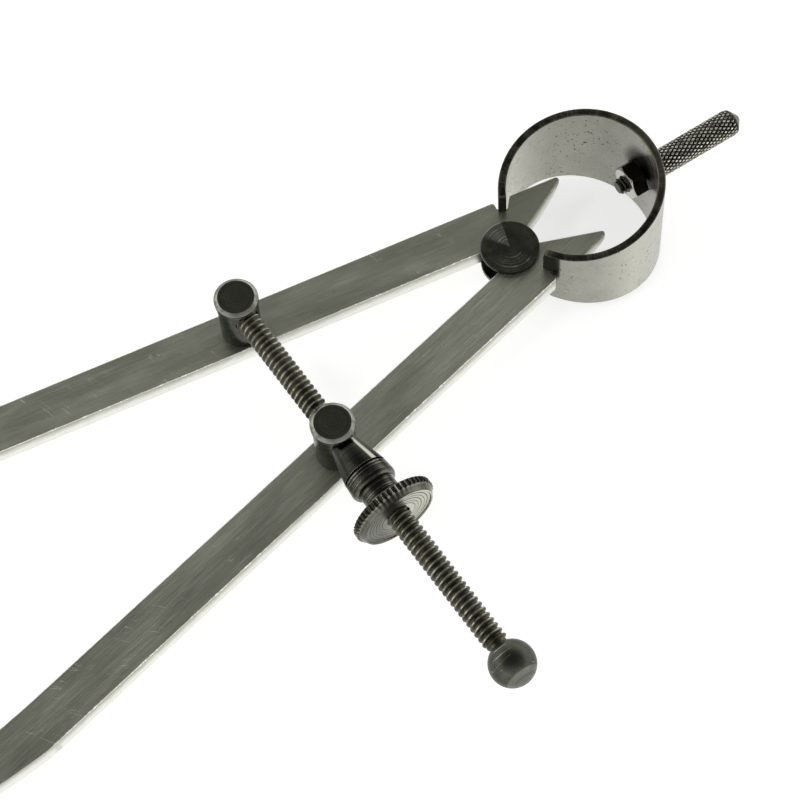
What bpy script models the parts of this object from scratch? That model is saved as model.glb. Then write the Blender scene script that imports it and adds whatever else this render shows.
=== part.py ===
"""Spring caliper of the divider pattern, lying on its bow and its two points.

Two flat steel legs turn on a grooved spool. A C-shaped bow spring straddles
them and presses them onto the spool, which spreads their points. A screw fixed
in the left swivel post passes through the right one, where a conical collar
and a knurled nut hold the legs at their opening.

The tool frame has its origin on the spool's axis at the middle of the legs'
thickness, +Y towards the handle, +X towards the right leg and +Z up through the
spool. The whole tool frame is tipped so that the bow and the legs touch one
level surface, and the row's origin is the centre of the spool's top face.
"""

import math

import bmesh
import bpy
from mathutils import Matrix, Vector

MM = 0.001

# Clearances between touching pieces
SEAT_GAP = 0.15 * MM
PIN_GAP = 0.1 * MM

# Legs
LEG_LENGTH = 140.0 * MM
LEG_WIDTH = 7.15 * MM
LEG_THICKNESS = 3.0 * MM
LEG_INNER_OFFSET = 1.37 * MM
LEG_HALF_ANGLE = math.radians(10.56)
LEG_TAPER_LENGTH = 42.0 * MM
LEG_SHOULDER_BEND = 9.0 * MM
LEG_SHOULDER_CUTS = 6
LEG_POINT_LENGTH = 16.0 * MM
LEG_EDGE_ROUND = 0.22 * MM
POINT_OFFSET = 0.3 * MM
POINT_HALF_SIZE = 0.18 * MM
TONGUE_BEVEL_ANGLE = math.radians(55.5)
TONGUE_BEVEL_OFFSET = 0.35 * MM
TONGUE_TIP_RADIUS = 0.48 * MM
TONGUE_LENGTH = 12.1 * MM
TONGUE_GRIND_START = 6.5 * MM
TONGUE_GRIND_MIDDLE = 10.6 * MM
TONGUE_GRIND_DEPTH = 0.9 * MM
TONGUE_TIP_THICKNESS = 0.7 * MM

# Bow spring
BOW_CENTRE_Y = 13.12 * MM
BOW_HALF_BREADTH = 12.67 * MM
BOW_HALF_HEIGHT = 12.33 * MM
BOW_WALL = 1.18 * MM
BOW_TOP_HALF_WIDTH = 9.6 * MM
BOW_MID_HALF_WIDTH = 7.6 * MM
BOW_LEFT_END_ANGLE = math.radians(150.4)
BOW_RIGHT_END_ANGLE = math.radians(154.0)
BOW_ROOT_ANGLE = math.radians(147.03)
BOW_EDGE_ROUND = 0.25 * MM
BOW_CORNER_RADIUS = 0.6 * MM
BOW_CORNER_STEPS = 3
BOW_SEGMENTS = 66
NOTCH_DEPTH = 2.2 * MM
NOTCH_HALF_WIDTH = 0.82 * MM
NOTCH_MOUTH_LOW = 1.3 * MM
NOTCH_MOUTH_HIGH = 3.95 * MM
NOTCH_FLOOR_RADIUS = 0.3 * MM
NOTCH_MOUTH_RADIUS = 0.45 * MM

# Fulcrum spool
SPOOL_FLANGE_RADIUS = 4.42 * MM
SPOOL_FLANGE_THICKNESS = 0.75 * MM
SPOOL_CORE_RADIUS = 3.2 * MM
SPOOL_CHAMFER = 0.1 * MM

# Swivel posts
POST_DISTANCE = 41.54 * MM
POST_BODY_RADIUS = 3.05 * MM
POST_HEAD_RADIUS = 3.28 * MM
POST_FACE_RADIUS = 2.7 * MM
POST_HEIGHT = 9.75 * MM
POST_HEAD_THICKNESS = 1.3 * MM
POST_CHAMFER_HEIGHT = 0.45 * MM
POST_NECK_RADIUS = 2.9 * MM
POST_NECK_HEIGHT = 0.25 * MM
POST_SHANK_RADIUS = 1.6 * MM
POST_TAPPED_RADIUS = 0.9 * MM
POST_TAPPED_DEPTH = 3.4 * MM

# Screws and washers that hold the posts from below
WASHER_RADIUS = 2.9 * MM
WASHER_THICKNESS = 0.5 * MM
POST_SCREW_HEAD_RADIUS = 1.9 * MM
POST_SCREW_HEAD_HEIGHT = 0.9 * MM
POST_SCREW_RADIUS = 0.8 * MM
POST_SCREW_SLOT_WIDTH = 0.45 * MM
POST_SCREW_SLOT_DEPTH = 0.4 * MM

# Adjusting screw and its stop ball
SCREW_HEIGHT = 7.9 * MM
SCREW_RADIUS = 1.82 * MM
SCREW_BLIND_DEPTH = 1.7 * MM
SCREW_REACH = 40.16 * MM
SCREW_END_CHAMFER = 0.3 * MM
BALL_RADIUS = 3.4 * MM
BALL_SPIGOT_RADIUS = 1.2 * MM
BALL_SPIGOT_LENGTH = 2.4 * MM

# Thrust collar between the right post and the nut
COLLAR_LENGTH = 5.15 * MM
COLLAR_NOSE_RADIUS = 2.15 * MM
COLLAR_FACE_RADIUS = 3.4 * MM
COLLAR_SEAT_DEPTH = 0.5 * MM

# Adjusting nut
NUT_BODY_RADIUS = 3.4 * MM
NUT_SHOULDER_RADIUS = 3.6 * MM
NUT_BODY_LENGTH = 2.2 * MM
NUT_SHOULDER_LENGTH = 1.0 * MM
NUT_NECK_RADIUS = 2.8 * MM
NUT_NECK_LENGTH = 4.0 * MM
NUT_FLANGE_RADIUS = 6.5 * MM
NUT_FACE_RADIUS = 5.7 * MM
NUT_KNURL_WIDTH = 1.1 * MM
NUT_CHAMFER_WIDTH = 1.1 * MM
NUT_KNURL_DEPTH = 0.3 * MM
NUT_TEETH = 50
NUT_DISH_DEPTH = 0.25 * MM

# Knurled handle and the nut that holds it
HANDLE_LEAN = math.radians(2.0)
HANDLE_RADIUS = 2.12 * MM
HANDLE_LENGTH = 16.9 * MM
HANDLE_CONE_HEIGHT = 1.2 * MM
HANDLE_TIP_RADIUS = 0.4 * MM
HANDLE_KNURL_PITCH = 1.2 * MM
HANDLE_KNURL_COUNT = 18
HANDLE_KNURL_DEPTH = 0.24 * MM
STUD_RADIUS = 1.3 * MM
STUD_PROJECTION = 1.35 * MM
STUD_CHAMFER = 0.2 * MM
HEX_ACROSS_FLATS = 5.1 * MM
HEX_THICKNESS = 2.4 * MM
HEX_FACE_RADIUS = 2.42 * MM
HEX_CHAMFER_ANGLE = math.radians(30)

ROUND_SEGMENTS = 40
FINE_SEGMENTS = 24
MERGE_DISTANCE = 0.001 * MM
FLAT_ANGLE = math.radians(0.5)

# Sizes and places that follow from the dimensions above
HALF_THICKNESS = LEG_THICKNESS / 2
LEG_OUTER_OFFSET = LEG_INNER_OFFSET + LEG_WIDTH
LEG_CENTRE_OFFSET = LEG_INNER_OFFSET + LEG_WIDTH / 2
LEG_NOTCH_RADIUS = SPOOL_CORE_RADIUS + PIN_GAP
SPOOL_TOP = HALF_THICKNESS + SEAT_GAP + SPOOL_FLANGE_THICKNESS
POST_X = POST_DISTANCE * math.sin(LEG_HALF_ANGLE) + LEG_CENTRE_OFFSET * math.cos(LEG_HALF_ANGLE)
POST_Y = LEG_CENTRE_OFFSET * math.sin(LEG_HALF_ANGLE) - POST_DISTANCE * math.cos(LEG_HALF_ANGLE)
SCREW_BORE_RADIUS = SCREW_RADIUS + PIN_GAP
COLLAR_START = POST_X + POST_BODY_RADIUS - COLLAR_SEAT_DEPTH + SEAT_GAP
NUT_START = COLLAR_START + COLLAR_LENGTH + SEAT_GAP
BALL_FLAT_DISTANCE = math.sqrt(BALL_RADIUS**2 - SCREW_RADIUS**2)
BALL_X = POST_X + SCREW_REACH + SEAT_GAP + BALL_FLAT_DISTANCE
BOW_SLOT_RUN = 2 * BOW_HALF_HEIGHT * (BOW_RIGHT_END_ANGLE - BOW_ROOT_ANGLE)
BOW_NOTCH_ANGLE = BOW_ROOT_ANGLE - NOTCH_DEPTH / 2 / BOW_HALF_HEIGHT
LOWEST_LEG_Y = -(LEG_LENGTH - LEG_POINT_LENGTH) * math.cos(LEG_HALF_ANGLE)
LOWEST_BOW_Y = BOW_CENTRE_Y + BOW_HALF_HEIGHT - BOW_WALL + BOW_EDGE_ROUND
REST_TILT = math.atan2(BOW_TOP_HALF_WIDTH - HALF_THICKNESS, LOWEST_BOW_Y - LOWEST_LEG_Y)

TURN_TO_X = Matrix.Rotation(math.radians(90), 4, "Y")


def clear_scene():
    for item in list(bpy.data.objects):
        bpy.data.objects.remove(item, do_unlink=True)


def make_collection(name):
    group = bpy.data.collections.new(name)
    bpy.context.scene.collection.children.link(group)
    return group


def make_material(name, colour, roughness, metallic):
    mat = bpy.data.materials.new(name)
    mat.use_nodes = True
    shader = mat.node_tree.nodes["Principled BSDF"]
    shader.inputs["Base Color"].default_value = (*colour, 1.0)
    shader.inputs["Roughness"].default_value = roughness
    shader.inputs["Metallic"].default_value = metallic
    return mat


def add_object(name, data, place, mat):
    """Put a sub-part in the caliper's collection, placed in the tool frame."""
    item = bpy.data.objects.new(name, data)
    caliper.objects.link(item)
    item.parent = tool_frame
    item.matrix_local = place
    data.materials.append(mat)
    return item


def add_cutter(name, data, place):
    item = bpy.data.objects.new(name, data)
    cutters.objects.link(item)
    item.parent = tool_frame
    item.matrix_local = place
    item.hide_render = True
    item.display_type = "WIRE"
    return item


def cut(target, cutter):
    step = target.modifiers.new("cut_" + cutter.name, "BOOLEAN")
    step.operation = "DIFFERENCE"
    step.solver = "EXACT"
    step.object = cutter


def mesh_from_bmesh(name, bm, sharp_angle=math.radians(35)):
    data = bpy.data.meshes.new(name)
    bm.normal_update()
    bm.to_mesh(data)
    bm.free()
    data.shade_smooth()
    data.set_sharp_from_angle(angle=sharp_angle)
    return data


def turned(name, profile, place, mat, closed=False, segments=ROUND_SEGMENTS):
    """A turned piece from (radius, height) points down its outer side."""
    data = bpy.data.meshes.new(name)
    points = [(radius, 0.0, height) for radius, height in profile]
    edges = [(i, i + 1) for i in range(len(points) - 1)]
    if closed:
        edges.append((len(points) - 1, 0))
    data.from_pydata(points, edges, [])
    item = add_object(name, data, place, mat)
    spin = item.modifiers.new("turn", "SCREW")
    spin.axis = "Z"
    spin.steps = segments
    spin.render_steps = segments
    spin.use_merge_vertices = True
    spin.merge_threshold = MERGE_DISTANCE
    spin.use_smooth_shade = True
    return item


def cylinder_mesh(name, radius, length, segments=ROUND_SEGMENTS):
    """A plain cylinder along Z, centred on its own origin."""
    bm = bmesh.new()
    bmesh.ops.create_cone(bm, cap_ends=True, segments=segments, radius1=radius, radius2=radius, depth=length)
    return mesh_from_bmesh(name, bm)


def box_mesh(name, size):
    bm = bmesh.new()
    bmesh.ops.create_cube(bm, size=1.0)
    bmesh.ops.scale(bm, vec=size, verts=bm.verts)
    return mesh_from_bmesh(name, bm)


def arc(radius, start, end, steps):
    """Points on a circle about the origin, from one angle to another."""
    angles = [start + (end - start) * i / steps for i in range(steps + 1)]
    return [Vector((radius * math.cos(angle), radius * math.sin(angle))) for angle in angles]


def rounded_corner(before, corner, after, radius, steps):
    """Points on the arc that rounds a corner of an outline, between its neighbours on both sides."""
    arm = (before - corner).normalized()
    other = (after - corner).normalized()
    half = arm.angle(other) / 2
    middle = corner + (arm + other).normalized() * (radius / math.sin(half))
    spoke = corner + arm * (radius / math.tan(half)) - middle
    turn = math.copysign(math.pi - 2 * half, arm.cross(other))
    return [middle + Matrix.Rotation(-turn * i / steps, 2) @ spoke for i in range(steps + 1)]


def strip_frame(side, angle):
    """The bow's mid-wall point at an angle from its top, its run towards the end and the way inwards."""
    sine = math.sin(angle)
    cosine = math.cos(angle)
    outer = Vector((side * BOW_HALF_BREADTH * sine, BOW_CENTRE_Y + BOW_HALF_HEIGHT * cosine, 0.0))
    along = Vector((side * BOW_HALF_BREADTH * cosine, -BOW_HALF_HEIGHT * sine, 0.0)).normalized()
    inward = Vector((side * along.y, -side * along.x, 0.0))
    return outer + inward * (BOW_WALL / 2), along, inward


def notch_outline():
    """The notch for the bow in the right leg's outer edge, square to the strip at its floor, upwards."""
    root, along, _ = strip_frame(1, BOW_ROOT_ANGLE)
    _, _, inward = strip_frame(1, BOW_NOTCH_ANGLE)
    to_leg = Matrix.Rotation(-LEG_HALF_ANGLE, 3, "Z")
    floor = (to_leg @ (root + along * SEAT_GAP)).to_2d()
    up = (to_leg @ inward).to_2d()
    below = Vector((LEG_OUTER_OFFSET, -LEG_LENGTH))
    low = Vector((LEG_OUTER_OFFSET, NOTCH_MOUTH_LOW))
    low_floor = floor - up * NOTCH_HALF_WIDTH
    high_floor = floor + up * NOTCH_HALF_WIDTH
    high = Vector((LEG_OUTER_OFFSET, NOTCH_MOUTH_HIGH))
    above = Vector((LEG_OUTER_OFFSET, TONGUE_LENGTH))
    outline = rounded_corner(below, low, low_floor, NOTCH_MOUTH_RADIUS, 3)
    outline += rounded_corner(low, low_floor, high_floor, NOTCH_FLOOR_RADIUS, 2)
    outline += rounded_corner(low_floor, high_floor, high, NOTCH_FLOOR_RADIUS, 2)
    outline += rounded_corner(high_floor, high, above, NOTCH_MOUTH_RADIUS, 3)
    return outline


def leg_outline():
    """The right leg's outline seen from above, its own +Y up the leg, before its point is ground."""
    bottom = -LEG_LENGTH - LEG_WIDTH
    shoulder = Vector((LEG_INNER_OFFSET, -(LEG_LENGTH - LEG_TAPER_LENGTH)))
    slant = (POINT_OFFSET - POINT_HALF_SIZE - LEG_INNER_OFFSET) / LEG_TAPER_LENGTH
    bevel = Vector((math.cos(TONGUE_BEVEL_ANGLE), math.sin(TONGUE_BEVEL_ANGLE)))
    rise = TONGUE_BEVEL_OFFSET / bevel.x
    corner = Vector((LEG_OUTER_OFFSET, LEG_OUTER_OFFSET * bevel.y / bevel.x + rise))
    tip = rounded_corner(Vector((LEG_OUTER_OFFSET, 0.0)), corner, corner - bevel, TONGUE_TIP_RADIUS, 5)
    bevel_angle = TONGUE_BEVEL_ANGLE + math.asin(TONGUE_BEVEL_OFFSET / LEG_NOTCH_RADIUS)
    inner_angle = -math.acos(LEG_INNER_OFFSET / LEG_NOTCH_RADIUS)
    outline = [Vector((LEG_OUTER_OFFSET, bottom))]
    outline += notch_outline()
    outline += tip
    outline += arc(LEG_NOTCH_RADIUS, bevel_angle, inner_angle, 16)
    outline += [shoulder, Vector((LEG_INNER_OFFSET + slant * (shoulder.y - bottom), bottom))]
    return outline


def plane_cut(bm, point, normal):
    """Cut away what lies past a plane and close the face that is left."""
    geometry = bm.verts[:] + bm.edges[:] + bm.faces[:]
    result = bmesh.ops.bisect_plane(
        bm, geom=geometry, dist=MERGE_DISTANCE / 10, plane_co=point, plane_no=normal, clear_outer=True
    )
    rim = [item for item in result["geom_cut"] if isinstance(item, bmesh.types.BMEdge)]
    bmesh.ops.edgeloop_fill(bm, edges=rim)


def grind_point(bm):
    """Grind the bowed taper of the leg's outer edge, then thin the leg down to its point."""
    shoulder_y = -(LEG_LENGTH - LEG_TAPER_LENGTH)
    thin_y = -(LEG_LENGTH - LEG_POINT_LENGTH)
    start = Vector((LEG_OUTER_OFFSET, shoulder_y, 0.0))
    bend = Vector((LEG_OUTER_OFFSET, shoulder_y - LEG_SHOULDER_BEND, 0.0))
    end = Vector((POINT_OFFSET + POINT_HALF_SIZE, -LEG_LENGTH, 0.0))
    for i in range(1, LEG_SHOULDER_CUTS + 1):
        share = i / LEG_SHOULDER_CUTS
        run = (bend - start).lerp(end - bend, share)
        point = start.lerp(bend, share).lerp(bend.lerp(end, share), share)
        plane_cut(bm, point, Vector((-run.y, run.x, 0.0)))
    for side in (1, -1):
        rise = HALF_THICKNESS - POINT_HALF_SIZE
        point = Vector((0.0, -LEG_LENGTH, side * POINT_HALF_SIZE))
        plane_cut(bm, point, Vector((0.0, -rise, side * (thin_y + LEG_LENGTH))))
    plane_cut(bm, Vector((0.0, -LEG_LENGTH, 0.0)), Vector((0.0, -1.0, 0.0)))


def grind_tongue(bm):
    """Thin the leg's upper end from below, in two slopes that meet the top face near its tip."""
    start = Vector((0.0, TONGUE_GRIND_START, -HALF_THICKNESS))
    middle = Vector((0.0, TONGUE_GRIND_MIDDLE, TONGUE_GRIND_DEPTH - HALF_THICKNESS))
    end = Vector((0.0, TONGUE_LENGTH, HALF_THICKNESS - TONGUE_TIP_THICKNESS))
    for low, high in ((start, middle), (middle, end)):
        run = high - low
        plane_cut(bm, low, Vector((0.0, run.z, -run.y)))


def flat_plate(name, outline, half_thickness):
    """A plate with a flat outline: a filled curve raised both ways, joined to one mesh with whole faces."""
    curve = bpy.data.curves.new(name, "CURVE")
    curve.dimensions = "2D"
    curve.fill_mode = "BOTH"
    curve.extrude = half_thickness
    line = curve.splines.new("POLY")
    line.points.add(len(outline) - 1)
    for spot, point in zip(line.points, outline):
        spot.co = (point.x, point.y, 0.0, 1.0)
    line.use_cyclic_u = True
    shape = bpy.data.objects.new(name, curve)
    caliper.objects.link(shape)
    graph = bpy.context.evaluated_depsgraph_get()
    data = bpy.data.meshes.new_from_object(shape.evaluated_get(graph))
    bpy.data.objects.remove(shape, do_unlink=True)
    bm = bmesh.new()
    bm.from_mesh(data)
    bpy.data.meshes.remove(data)
    bmesh.ops.remove_doubles(bm, verts=bm.verts, dist=MERGE_DISTANCE)
    bmesh.ops.recalc_face_normals(bm, faces=bm.faces)
    inner = [edge for edge in bm.edges if edge.calc_face_angle(0.0) < FLAT_ANGLE]
    bmesh.ops.dissolve_edges(bm, edges=inner, use_verts=False)
    return bm


def leg(name, side):
    bm = flat_plate(name, leg_outline(), HALF_THICKNESS)
    rims = [edge for edge in bm.edges if abs(edge.verts[0].co.z - edge.verts[1].co.z) < MERGE_DISTANCE]
    bmesh.ops.bevel(bm, geom=rims, offset=LEG_EDGE_ROUND, segments=2, profile=0.5, affect="EDGES")
    grind_point(bm)
    grind_tongue(bm)
    if side < 0:
        bmesh.ops.scale(bm, vec=(-1.0, 1.0, 1.0), verts=bm.verts)
    bmesh.ops.recalc_face_normals(bm, faces=bm.faces)
    place = Matrix.Rotation(side * LEG_HALF_ANGLE, 4, "Z")
    item = add_object(name, mesh_from_bmesh(name, bm), place, bright_steel)
    hole = cylinder_mesh(name + "_post_hole", POST_SHANK_RADIUS + PIN_GAP, LEG_THICKNESS * 2)
    cut(item, add_cutter(name + "_post_hole", hole, Matrix.Translation((side * POST_X, POST_Y, 0.0))))
    return item


def bow_outer(angle):
    """A point of the strip's outer face at mid width, by its angle from the handle's side."""
    return Vector((BOW_HALF_BREADTH * math.sin(angle), BOW_CENTRE_Y + BOW_HALF_HEIGHT * math.cos(angle), 0.0))


def bow_stations():
    """Angles from end to end of the bow, each with what its rounded end corners take off the half width."""
    reach = BOW_CORNER_RADIUS / BOW_HALF_HEIGHT
    corners = []
    for i in range(BOW_CORNER_STEPS):
        turn = math.pi / 2 * i / BOW_CORNER_STEPS
        corners.append((reach * (1 - math.cos(turn)), BOW_CORNER_RADIUS * (1 - math.sin(turn))))
    first = reach - BOW_LEFT_END_ANGLE
    last = BOW_RIGHT_END_ANGLE - reach
    stations = [(back - BOW_LEFT_END_ANGLE, drop) for back, drop in corners]
    stations += [(first + (last - first) * i / BOW_SEGMENTS, 0.0) for i in range(BOW_SEGMENTS + 1)]
    stations += [(BOW_RIGHT_END_ANGLE - back, drop) for back, drop in reversed(corners)]
    return stations


def bow_spring():
    """The flat strip bent to a C, widest at the handle, with a slotted end over each leg."""
    bm = bmesh.new()
    rows = []
    for angle, corner in bow_stations():
        middle = bow_outer(angle)
        half = BOW_MID_HALF_WIDTH + (BOW_TOP_HALF_WIDTH - BOW_MID_HALF_WIDTH) * math.cos(angle) - corner
        rows.append([bm.verts.new((middle.x, middle.y, height)) for height in (-half, half)])
    for before, after in zip(rows, rows[1:]):
        bm.faces.new((before[0], before[1], after[1], after[0]))
    item = add_object("bow_spring", mesh_from_bmesh("bow_spring", bm), Matrix(), bow_steel)
    wall = item.modifiers.new("wall", "SOLIDIFY")
    wall.thickness = BOW_WALL
    wall.offset = -1.0
    wall.use_even_offset = True
    for side, label in ((-1, "left"), (1, "right")):
        root, along, inward = strip_frame(side, BOW_ROOT_ANGLE)
        size = (BOW_SLOT_RUN, 3 * BOW_WALL, LEG_THICKNESS + 2 * SEAT_GAP)
        turn = Matrix((along, inward, Vector((0.0, 0.0, side)))).transposed().to_4x4()
        middle = Matrix.Translation(root + along * (BOW_SLOT_RUN / 2))
        slot = box_mesh("bow_slot_" + label, size)
        cut(item, add_cutter("bow_slot_" + label, slot, middle @ turn))
    hole = cylinder_mesh("handle_hole", STUD_RADIUS + PIN_GAP, 6 * BOW_WALL, FINE_SEGMENTS)
    cut(item, add_cutter("handle_hole", hole, handle_frame(BOW_HALF_HEIGHT - BOW_WALL / 2)))
    rounding = item.modifiers.new("rounding", "BEVEL")
    rounding.width = BOW_EDGE_ROUND
    rounding.segments = 2
    rounding.limit_method = "ANGLE"
    rounding.angle_limit = math.radians(60)
    rounding.use_clamp_overlap = False
    return item


def fulcrum_spool():
    top = SPOOL_TOP
    groove = HALF_THICKNESS + SEAT_GAP
    rim = SPOOL_FLANGE_RADIUS
    upper = [(0.0, top), (rim - SPOOL_CHAMFER, top), (rim, top - SPOOL_CHAMFER), (rim, groove)]
    upper.append((SPOOL_CORE_RADIUS, groove))
    lower = [(radius, -height) for radius, height in reversed(upper)]
    return turned("fulcrum_spool", upper + lower, Matrix(), black_steel)


def post(name, side, blind):
    """A swivel post: chamfered head, cross bore for the screw, shank through its leg."""
    foot = HALF_THICKNESS + SEAT_GAP
    top = HALF_THICKNESS + POST_HEIGHT
    head_low = top - POST_HEAD_THICKNESS
    shank_low = -HALF_THICKNESS - SEAT_GAP
    profile = [
        (0.0, top),
        (POST_FACE_RADIUS, top),
        (POST_HEAD_RADIUS, top - POST_CHAMFER_HEIGHT),
        (POST_HEAD_RADIUS, head_low),
        (POST_NECK_RADIUS, head_low),
        (POST_NECK_RADIUS, head_low - POST_NECK_HEIGHT),
        (POST_BODY_RADIUS, head_low - POST_NECK_HEIGHT),
        (POST_BODY_RADIUS, foot),
        (POST_SHANK_RADIUS, foot),
        (POST_SHANK_RADIUS, shank_low),
        (POST_TAPPED_RADIUS, shank_low),
        (POST_TAPPED_RADIUS, shank_low + POST_TAPPED_DEPTH),
        (0.0, shank_low + POST_TAPPED_DEPTH),
    ]
    item = turned(name, profile, Matrix.Translation((side * POST_X, POST_Y, 0.0)), black_steel)
    start = -SCREW_BLIND_DEPTH - SEAT_GAP if blind else -2 * POST_BODY_RADIUS
    end = 2 * POST_BODY_RADIUS
    bore = cylinder_mesh(name + "_bore", SCREW_BORE_RADIUS, end - start)
    middle = Vector((side * POST_X + (start + end) / 2, POST_Y, SCREW_HEIGHT))
    cut(item, add_cutter(name + "_bore", bore, Matrix.Translation(middle) @ TURN_TO_X))
    if not blind:
        seat_start = POST_BODY_RADIUS - COLLAR_SEAT_DEPTH
        seat = cylinder_mesh(name + "_seat", COLLAR_NOSE_RADIUS + PIN_GAP, POST_BODY_RADIUS)
        middle = Vector((POST_X + seat_start + POST_BODY_RADIUS / 2, POST_Y, SCREW_HEIGHT))
        cut(item, add_cutter(name + "_seat", seat, Matrix.Translation(middle) @ TURN_TO_X))
    return item


def post_fastening(label, side):
    """The washer and the slotted screw that hold a post from below its leg."""
    washer_top = -HALF_THICKNESS - 2 * SEAT_GAP
    washer_low = washer_top - WASHER_THICKNESS
    inner = POST_SCREW_RADIUS + PIN_GAP
    ring = [(WASHER_RADIUS, washer_top), (WASHER_RADIUS, washer_low)]
    ring += [(inner, washer_low), (inner, washer_top)]
    place = Matrix.Translation((side * POST_X, POST_Y, 0.0))
    turned(label + "_post_washer", ring, place, black_steel, closed=True)
    head_top = washer_low - SEAT_GAP
    head_low = head_top - POST_SCREW_HEAD_HEIGHT
    shank_top = -HALF_THICKNESS - SEAT_GAP + POST_TAPPED_DEPTH - SEAT_GAP
    profile = [
        (0.0, shank_top),
        (POST_SCREW_RADIUS, shank_top),
        (POST_SCREW_RADIUS, head_top),
        (POST_SCREW_HEAD_RADIUS, head_top),
        (POST_SCREW_HEAD_RADIUS, head_low + PIN_GAP),
        (POST_SCREW_HEAD_RADIUS - PIN_GAP, head_low),
        (0.0, head_low),
    ]
    screw = turned(label + "_post_screw", profile, place, black_steel, segments=FINE_SEGMENTS)
    size = (3 * POST_SCREW_HEAD_RADIUS, POST_SCREW_SLOT_WIDTH, 2 * POST_SCREW_SLOT_DEPTH)
    slot = box_mesh(label + "_screw_slot", size)
    middle = Matrix.Translation((side * POST_X, POST_Y, head_low))
    turn = Matrix.Rotation(side * math.radians(35), 4, "Z")
    cut(screw, add_cutter(label + "_screw_slot", slot, middle @ turn))


def adjusting_screw():
    """The plain form of the threaded rod, with a spigot for its stop ball."""
    start = -SCREW_BLIND_DEPTH
    end = 2 * POST_X + SCREW_REACH
    profile = [
        (0.0, end + BALL_SPIGOT_LENGTH),
        (BALL_SPIGOT_RADIUS, end + BALL_SPIGOT_LENGTH),
        (BALL_SPIGOT_RADIUS, end),
        (SCREW_RADIUS, end),
        (SCREW_RADIUS, start + SCREW_END_CHAMFER),
        (SCREW_RADIUS - SCREW_END_CHAMFER, start),
        (0.0, start),
    ]
    place = Matrix.Translation((-POST_X, POST_Y, SCREW_HEIGHT)) @ TURN_TO_X
    return turned("adjusting_screw", profile, place, black_steel)


def stop_ball():
    """A ball turned with a flat where it meets the screw's shoulder and a bore for the spigot."""
    end_angle = -math.atan2(BALL_FLAT_DISTANCE, SCREW_RADIUS)
    bore = BALL_SPIGOT_RADIUS + PIN_GAP
    outside = [(point.x, point.y) for point in arc(BALL_RADIUS, math.pi / 2, end_angle, 15)]
    outside[0] = (0.0, BALL_RADIUS)
    depth = BALL_SPIGOT_LENGTH - BALL_FLAT_DISTANCE
    profile = outside + [(bore, -BALL_FLAT_DISTANCE), (bore, depth), (0.0, depth)]
    place = Matrix.Translation((BALL_X, POST_Y, SCREW_HEIGHT)) @ TURN_TO_X
    return turned("stop_ball", profile, place, black_steel)


def thrust_collar():
    """The conical collar: its small end sits in the right post, its face meets the nut."""
    bore = SCREW_BORE_RADIUS
    length = COLLAR_LENGTH
    profile = [(COLLAR_FACE_RADIUS, length), (COLLAR_NOSE_RADIUS, 0.0), (bore, 0.0), (bore, length)]
    place = Matrix.Translation((COLLAR_START, POST_Y, SCREW_HEIGHT)) @ TURN_TO_X
    return turned("thrust_collar", profile, place, black_steel, closed=True)


def adjusting_nut():
    """A turned body with a round shoulder, a neck and a dished flange with straight teeth round its rim."""
    body_end = NUT_BODY_LENGTH
    flange_start = body_end + NUT_NECK_LENGTH
    knurl_end = flange_start + NUT_KNURL_WIDTH
    front = knurl_end + NUT_CHAMFER_WIDTH
    root = NUT_FLANGE_RADIUS - NUT_KNURL_DEPTH
    bore = SCREW_BORE_RADIUS
    edge = 0.2 * NUT_KNURL_WIDTH
    halfway = math.sqrt(0.5)
    shoulder = NUT_NECK_RADIUS + (NUT_SHOULDER_RADIUS - NUT_NECK_RADIUS) * halfway
    stations = [
        (bore, front - NUT_DISH_DEPTH, 0.0),
        (NUT_FACE_RADIUS - NUT_KNURL_DEPTH, front - NUT_DISH_DEPTH, 0.0),
        (NUT_FACE_RADIUS, front, 0.0),
        (root, knurl_end + edge, 0.0),
        (root, knurl_end, NUT_KNURL_DEPTH),
        (root, flange_start + edge, NUT_KNURL_DEPTH),
        (root, flange_start, 0.0),
        (NUT_NECK_RADIUS, flange_start, 0.0),
        (NUT_NECK_RADIUS, body_end + NUT_SHOULDER_LENGTH, 0.0),
        (shoulder, body_end + NUT_SHOULDER_LENGTH * halfway, 0.0),
        (NUT_SHOULDER_RADIUS, body_end, 0.0),
        (NUT_SHOULDER_RADIUS, body_end - SEAT_GAP, 0.0),
        (NUT_BODY_RADIUS, SEAT_GAP, 0.0),
        (NUT_BODY_RADIUS - SEAT_GAP, 0.0, 0.0),
        (bore, 0.0, 0.0),
    ]
    columns = 2 * NUT_TEETH
    bm = bmesh.new()
    rings = []
    for radius, height, tooth in stations:
        ring = []
        for i in range(columns):
            angle = 2 * math.pi * i / columns
            reach = radius + (tooth if i % 2 else 0.0)
            ring.append(bm.verts.new((reach * math.cos(angle), reach * math.sin(angle), height)))
        rings.append(ring)
    for ring, following in zip(rings, rings[1:] + rings[:1]):
        for i in range(columns):
            after = (i + 1) % columns
            bm.faces.new((ring[after], ring[i], following[i], following[after]))
    place = Matrix.Translation((NUT_START, POST_Y, SCREW_HEIGHT)) @ TURN_TO_X
    return add_object("adjusting_nut", mesh_from_bmesh("adjusting_nut", bm), place, black_steel)


def handle_frame(distance):
    """A frame on the handle's axis, that far from the bow's centre, its Z out along the handle."""
    direction = Matrix.Rotation(-HANDLE_LEAN, 4, "Z") @ Matrix.Rotation(math.radians(-90), 4, "X")
    centre = Matrix.Translation((0.0, BOW_CENTRE_Y, 0.0))
    return centre @ direction @ Matrix.Translation((0.0, 0.0, distance))


def handle_nut_seat():
    """How far the handle nut's outer face stands below the handle's base."""
    corner = HEX_ACROSS_FLATS / math.sqrt(3)
    inner_radius = BOW_HALF_HEIGHT - BOW_WALL
    sagitta = inner_radius - math.sqrt(inner_radius**2 - corner**2)
    return BOW_WALL + SEAT_GAP + sagitta + SEAT_GAP


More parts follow.
